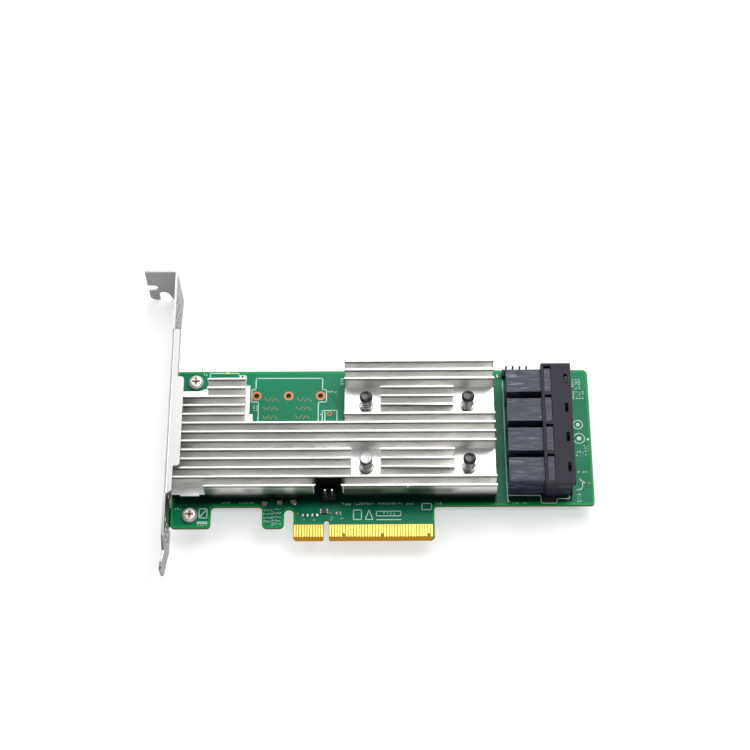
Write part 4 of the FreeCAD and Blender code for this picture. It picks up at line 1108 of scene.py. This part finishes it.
def makeTracks():
    look, thick, rise = trackLook, trackLook["thick"], trackLook["viaRise"]
    shape, vias, holeShades = startShape(), startShape(), startShape()
    keyX = -boardLeft / mm

    def track(points, face=1):
        low, high = (boardTop, boardTop + thick) if face > 0 else (boardBottom - thick, boardBottom)
        addPath(shape, [spot(x, y) for x, y in points], look["width"], low, high)

    def via(x, y):
        x, y = spot(x, y)
        fill, sides = look["viaFill"] * rise, look["viaSegments"]
        for low, high in ((boardTop, boardTop + rise), (boardBottom - rise, boardBottom)):
            addRing(vias, x, y, look["viaHole"], look["viaRing"], low, high, sides)
            # a dark disc in the via's hole: painted shade
            addDisc(holeShades, x, y, look["viaHole"], low + fill, high - fill, sides)

    # each contact's lead runs up and fans towards the controller
    for index, place in enumerate(longSide):
        x = keyX + place
        lift = look["fanTurn"] + (index % 3) * look["fanStep"]
        lean = (look["fanMiddle"] - x) * look["fanLean"]
        if index % 4 == 3:
            track([(x, 6.0), (x, 7.3)])
            via(x, 7.5)
        else:
            track([(x, 6.0), (x, lift), (x + lean, lift + 2.6), (x + lean, look["fanEnd"])])
            track([(x, 6.0), (x, lift - 0.8), (x - lean, lift + 2.0), (x - lean, 20.0),
                   (x - 3 * lean, 26.0)], -1)
    for index, place in enumerate(shortSide):
        x = keyX + place
        if index % 2:
            track([(x, 6.0), (x, 7.0)])
            via(x, 7.2)
        else:
            track([(x, 6.0), (x, 9.0), (x + 0.8, 10.2)])
            via(x + 0.8, 10.4)
    # paired leads beside the ports, then leads along the far edge
    for index, y in leadRow("pairs"):
        for step in (0.0, look["pairGap"]):
            track([(119.0, y + step), (120.6, y + step), (121.8, y + 1.2 + step), (123.0, y + 1.2 + step)])
        via(120.2, y - 1.0)
    for index, y in leadRow("edgeLeads"):
        track([(148.6, y), (153.9, y), (153.9, y + 3.0)])
        via(153.9, y + 3.6)
    # leads across the open area behind the heatsink, and beside it
    for index, y in leadRow("openLeads"):
        across = 33.0 + index * 0.8
        track([(30.0, y), (across, y), (across + 3.0, y + 3.0), (across + 3.0, 55.0 - index * 0.3)])
    for index, x in leadRow("cornerLeads"):
        track([(x, 53.2), (x, 58.0 - index), (x - 1.8, 59.8 - index), (x - 1.8, 66.8)])
    for x, y in loneVias:
        via(x, y)
    # solder side: bundles from the controller to the ports, and leads beside the contacts
    for port, y in leadRow("ports"):
        for lane, lift in leadRow("lanes"):
            bend = 39.1 + (port - 1.5) * 6.0 + lift
            left, right = 92.0 + lane * 0.7, 106.0 + lane * 0.5
            track([(left, bend), (right, bend), (right + abs(y - bend + lift) * 0.9, y + lift),
                   (131.0, y + lift)], -1)
    for index, x in leadRow("backLeads"):
        track([(x, 26.0), (x + 0.9, 29.5), (x + 0.9, 33.0 + (index % 4))], -1)
    tidyNormals(shape, vias, holeShades)
    finishPiece("boardTracks", shape, "trackGreen")
    finishPiece("viaRings", vias, "trackGreen")
    finishPiece("viaHoleShade", holeShades, "holeShade")


makeTracks()
print("tracks and vias laid")


# solder joints of the headers, tails of the ports, and one blob beside the header

solderLook = {"jointRadius": 0.85 * mm, "jointTip": 0.36 * mm, "jointHeight": 0.75 * mm, "jointSegments": 20,
              "pinPitch": 2.54 * mm, "pinHalf": 0.32 * mm,
              "tailRadius": 0.42 * mm, "tailTip": 0.22 * mm, "tailHeight": 0.35 * mm, "tailSegments": 10,
              "columns": 4, "rows": 9, "columnStart": 2.2, "columnPitch": 2.0, "rowPitch": 0.95,
              "blobPlace": (45.45, 14.72), "blobRadius": 0.8 * mm, "blobTip": 0.4 * mm,
              "blobHeight": 0.25 * mm, "blobSegments": 14}


def makeSolder():
    look = solderLook
    shape = startShape()
    for nodeName, count in (("two_pin_header_pins", 2), ("four_pin_header_pins", 4)):
        low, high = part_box(nodeName)
        for index in range(count):
            addDisc(shape, low.x + look["pinHalf"] + index * look["pinPitch"], (low.y + high.y) / 2,
                    look["jointTip"], boardBottom - look["jointHeight"], boardBottom,
                    look["jointSegments"], look["jointRadius"])
    for low, high in portBoxes:
        middle = (low.y + high.y) / 2
        for column in range(look["columns"]):
            for row in range(look["rows"]):
                x = low.x + (look["columnStart"] + column * look["columnPitch"]) * mm
                step = row - (look["rows"] - 1) / 2 + (column % 2) * 0.5
                addDisc(shape, x, middle + step * look["rowPitch"] * mm, look["tailTip"],
                        boardBottom - look["tailHeight"], boardBottom, look["tailSegments"],
                        look["tailRadius"])
    x, y = spot(*look["blobPlace"])
    addDisc(shape, x, y, look["blobRadius"], boardTop, boardTop + look["blobHeight"],
            look["blobSegments"], look["blobTip"])
    tidyNormals(shape)
    finishPiece("solderJoints", shape, "solder")


# small chip parts in millimetres: length, width and height, then where each group lies

smallLook = {"small": (1.0, 0.5, 0.5), "flat": (1.0, 0.5, 0.45), "large": (1.6, 0.8, 0.7),
             "capShare": 0.24, "bodyBevel": 0.04 * mm, "capBevel": 0.03 * mm,
             "gridStart": (83.5, 33.5), "gridPitch": (3.6, 3.7), "gridSize": (5, 4),
             "rowStart": (62.0, 12.1), "rowPitch": (2.4, 1.5), "rowCount": 10,
             "backPlaces": ((14.0, 28.0), (14.0, 30.6), (20.0, 33.5), (112.5, 60.5), (115.5, 60.5),
                            (40.0, 24.0)),
             # on the top face: place, and whether it stands across
             "topPlaces": ((60.9, 10.4, True), (62.3, 10.4, True), (25.0, 63.9, False),
                           (121.4, 66.3, True))}


def addChipPart(bodies, ends, x, y, size, face=-1, upright=False):
    length, width, height = (value * mm for value in size)
    low, high = (boardBottom - height, boardBottom) if face < 0 else (boardTop, boardTop + height)
    centre = spot(x, y)
    cap = smallLook["capShare"] * length
    for shape, start, end in ((bodies, -length / 2 + cap, length / 2 - cap),
                              (ends, -length / 2, -length / 2 + cap),
                              (ends, length / 2 - cap, length / 2)):
        corners = [Vector((start, -width / 2)), Vector((end, width / 2))]
        if upright:
            corners = [Vector((corner.y, corner.x)) for corner in corners]
        addBlock(shape, (*(centre + corners[0]), low), (*(centre + corners[1]), high))


def makeSmallParts():
    look = smallLook
    bodies, ends = startShape(), startShape()
    (x, y), (acrossPitch, upPitch), (columns, rows) = look["gridStart"], look["gridPitch"], look["gridSize"]
    for row in range(rows):
        for column in range(columns):
            addChipPart(bodies, ends, x + column * acrossPitch, y + row * upPitch, look["small"],
                        upright=(row + column) % 2 == 1)
    (x, y), (acrossPitch, upPitch) = look["rowStart"], look["rowPitch"]
    for index in range(look["rowCount"]):
        addChipPart(bodies, ends, x + index * acrossPitch, y + (index % 2) * upPitch, look["flat"],
                    upright=True)
    for x, y in look["backPlaces"]:
        addChipPart(bodies, ends, x, y, look["large"])
    for x, y, upright in look["topPlaces"]:
        addChipPart(bodies, ends, x, y, look["flat"], 1, upright)
    finishPiece("smallPartBodies", bodies, "ceramicTan", bevel=look["bodyBevel"])
    finishPiece("smallPartEnds", ends, "tinPlate", bevel=look["capBevel"])


makeSolder()
makeSmallParts()
print("solder side finished")


# ends, pads and leads of the chips beside the gold finger

leadLook = {"places": ((49.4, 9.8), (52.9, 9.8), (24.6, 66.3)), "bodyHalf": 0.8 * mm, "bodySide": 0.4 * mm,
            "bodyHeight": 0.53 * mm, "endWidth": 0.34 * mm, "proud": 0.03 * mm,
            "padReach": 0.38 * mm, "padSide": 0.5 * mm, "padThick": 0.05 * mm,
            "leadWidth": 0.28 * mm, "leadReach": 0.45 * mm, "leadPitch": 0.65 * mm, "leadHeight": 0.25 * mm,
            "leadSunk": 0.05 * mm, "bevel": 0.03 * mm}


def makeLeads():
    look = leadLook
    shape = startShape()

    def lay(start, end, y, half, height):
        left, right = sorted((start, end))
        addBlock(shape, (left, y - half, boardTop), (right, y + half, boardTop + height))

    for place in look["places"]:
        x, y = spot(*place)
        for side in (-1, 1):
            outer = x + side * (look["bodyHalf"] + look["proud"])
            inner = outer - side * look["endWidth"]
            lay(inner, outer, y, look["bodySide"] + look["proud"], look["bodyHeight"])
            lay(inner, outer + side * look["padReach"], y, look["padSide"], look["padThick"])
    low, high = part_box("sensor_chip")
    for edge, side in ((low.x, -1), (high.x, 1)):
        for index in (-1, 0, 1):
            lay(edge - side * look["leadSunk"], edge + side * look["leadReach"],
                (low.y + high.y) / 2 + index * look["leadPitch"], look["leadWidth"] / 2,
                look["leadHeight"])
    finishPiece("chipLeads", shape, "tinPlate", bevel=look["bevel"])


makeLeads()


# tapered tips of the contacts, lying on the finger's bevel

tipLook = {"width": 0.52 * mm, "narrow": 0.22 * mm, "length": 0.62 * mm, "thick": 0.03 * mm,
           "slope": 0.42 / 1.4}


def makeTips():
    shape = startShape()
    wide, narrow = tipLook["width"] / 2, tipLook["narrow"] / 2
    top, foot = contactLow.y, contactLow.y - tipLook["length"]
    for side, face in ((-1, boardBottom), (1, boardTop)):
        low = face - side * tipLook["slope"] * tipLook["length"]
        for x in (place * mm for place in longSide + shortSide):
            ring = [shape.verts.new(corner) for corner in ((x - wide, top, face), (x + wide, top, face),
                                                           (x + narrow, foot, low), (x - narrow, foot, low))]
            raiseFaces(shape, [shape.faces.new(ring)], side * tipLook["thick"])
    bmesh.ops.recalc_face_normals(shape, faces=shape.faces)
    finishPiece("contactTips", shape, "goldPlate")


makeTips()
print("leads and contact tips made")


# gold contacts in each port's nose

noseLook = {"perRow": 9, "pitch": 0.72 * mm, "width": 0.34 * mm, "thick": 0.13 * mm, "slotSpread": 4.2 * mm,
            "slotHeight": 1.3 * mm, "length": 4.0 * mm, "setback": 3.35 * mm, "floor": 1.6 * mm,
            "mouth": 10.6 * mm}


def makeNoseContacts():
    look = noseLook
    shape = startShape()
    for low, high in portBoxes:
        middle = (low.y + high.y) / 2
        centre = low.z + look["floor"] + look["mouth"] / 2
        front = high.x - look["setback"]
        for side in (-1, 1):
            for face in (-1, 1):
                outer = centre + side * look["slotSpread"] / 2 + face * look["slotHeight"] / 2
                foot, top = sorted((outer, outer - face * look["thick"]))
                for index in range(look["perRow"]):
                    y = middle + (index - (look["perRow"] - 1) / 2) * look["pitch"]
                    addBlock(shape, (front - look["length"], y - look["width"] / 2, foot),
                             (front, y + look["width"] / 2, top))
    finishPiece("noseContacts", shape, "goldPlate")


makeNoseContacts()
print("port contacts set")


# floor, light and camera; the floor glows a little to stay evenly bright, and less beneath the card as a
# painted shadow

stageLook = {"floorColour": (0.60, 0.60, 0.60), "floorGlow": 0.55, "floorRoughness": 0.9,
             "floorSpecular": 0.1, "floorReach": 3.0, "drop": 0.2 * mm, "shadeFront": 13.0 * mm,
             "shadeInset": 1.0 * mm, "shadeFade": 6.0 * mm, "air": (0.93, 0.96, 1.0), "airStrength": 0.20}
lights = {
    "backBox": {"place": (0.30, 0.46, 0.70), "aim": (0.03, 0.04, 0.0), "size": (0.80, 0.55), "power": 6.6},
    "frontBox": {"place": (0.05, -0.55, 0.55), "aim": (0.03, 0.0, 0.0), "size": (0.60, 0.35), "power": 0.9},
    "leftBox": {"place": (-0.50, 0.30, 0.60), "aim": (0.02, 0.04, 0.0), "size": (0.45, 0.50), "power": 2.2},
}
cameraLook = {"place": (0.024622, -0.241077, 0.612157), "turn": (0.467, 0.011, -0.003), "lens": 86.316,
              "sensor": 36.0, "nearest": 0.01}


def makeFloor():
    look = stageLook
    shape = startShape()
    bmesh.ops.create_grid(shape, x_segments=1, y_segments=1, size=look["floorReach"],
                          matrix=Matrix.Translation((0, 0, cadBox[0].z - look["drop"])))
    mesh = bpy.data.meshes.new("paleFloor")
    shape.to_mesh(mesh)
    shape.free()
    floor = bpy.data.objects.new("paleFloor", mesh)
    bpy.context.scene.collection.objects.link(floor)
    material, tree, shader = startMaterial("floorPaper")
    shader.inputs["Base Color"].default_value = (*look["floorColour"], 1.0)
    shader.inputs["Emission Strength"].default_value = look["floorGlow"]
    x, y, z = placeOf(tree)
    # the glow fades out under the card: a painted shadow
    sides = []
    for axis, low, high in ((x, boardLow.x, boardHigh.x), (y, look["shadeFront"], boardHigh.y)):
        for start, inward in ((low, 1), (high, -1)):
            edge = start + inward * look["shadeInset"]
            sides.append(ramp(tree, axis, edge, edge + inward * look["shadeFade"]))
    feed(tree, mixColour(tree, allOf(tree, *sides), (1.0, 1.0, 1.0), (0.0, 0.0, 0.0)),
         shader.inputs["Emission Color"])
    shader.inputs["Roughness"].default_value = look["floorRoughness"]
    shader.inputs["Specular IOR Level"].default_value = look["floorSpecular"]
    mesh.materials.append(material)


def makeLights():
    for name, look in lights.items():
        lamp = bpy.data.lights.new(name, "AREA")
        lamp.shape = "RECTANGLE"
        lamp.size, lamp.size_y = look["size"]
        lamp.energy = look["power"]
        holder = bpy.data.objects.new(name, lamp)
        holder.location = look["place"]
        away = Vector(look["place"]) - Vector(look["aim"])
        holder.rotation_euler = away.to_track_quat("Z", "Y").to_euler()
        bpy.context.scene.collection.objects.link(holder)
    world = bpy.data.worlds.new("studioAir")
    bpy.context.scene.world = world
    world.use_nodes = True
    air = world.node_tree.nodes["Background"]
    air.inputs["Color"].default_value = (*stageLook["air"], 1.0)
    air.inputs["Strength"].default_value = stageLook["airStrength"]


def makeCamera():
    look = cameraLook
    view = bpy.data.cameras.new("shopView")
    view.lens = look["lens"]
    view.sensor_width = look["sensor"]
    view.clip_start = look["nearest"]
    holder = bpy.data.objects.new("shopView", view)
    turn = Vector(look["turn"])
    holder.matrix_world = (Matrix.Translation(look["place"])
                           @ Matrix.Rotation(turn.length, 4, turn.normalized()))
    bpy.context.scene.collection.objects.link(holder)
    bpy.context.scene.camera = holder


makeFloor()
makeLights()
makeCamera()
bpy.context.scene.view_settings.view_transform = "Standard"
print("stage set")
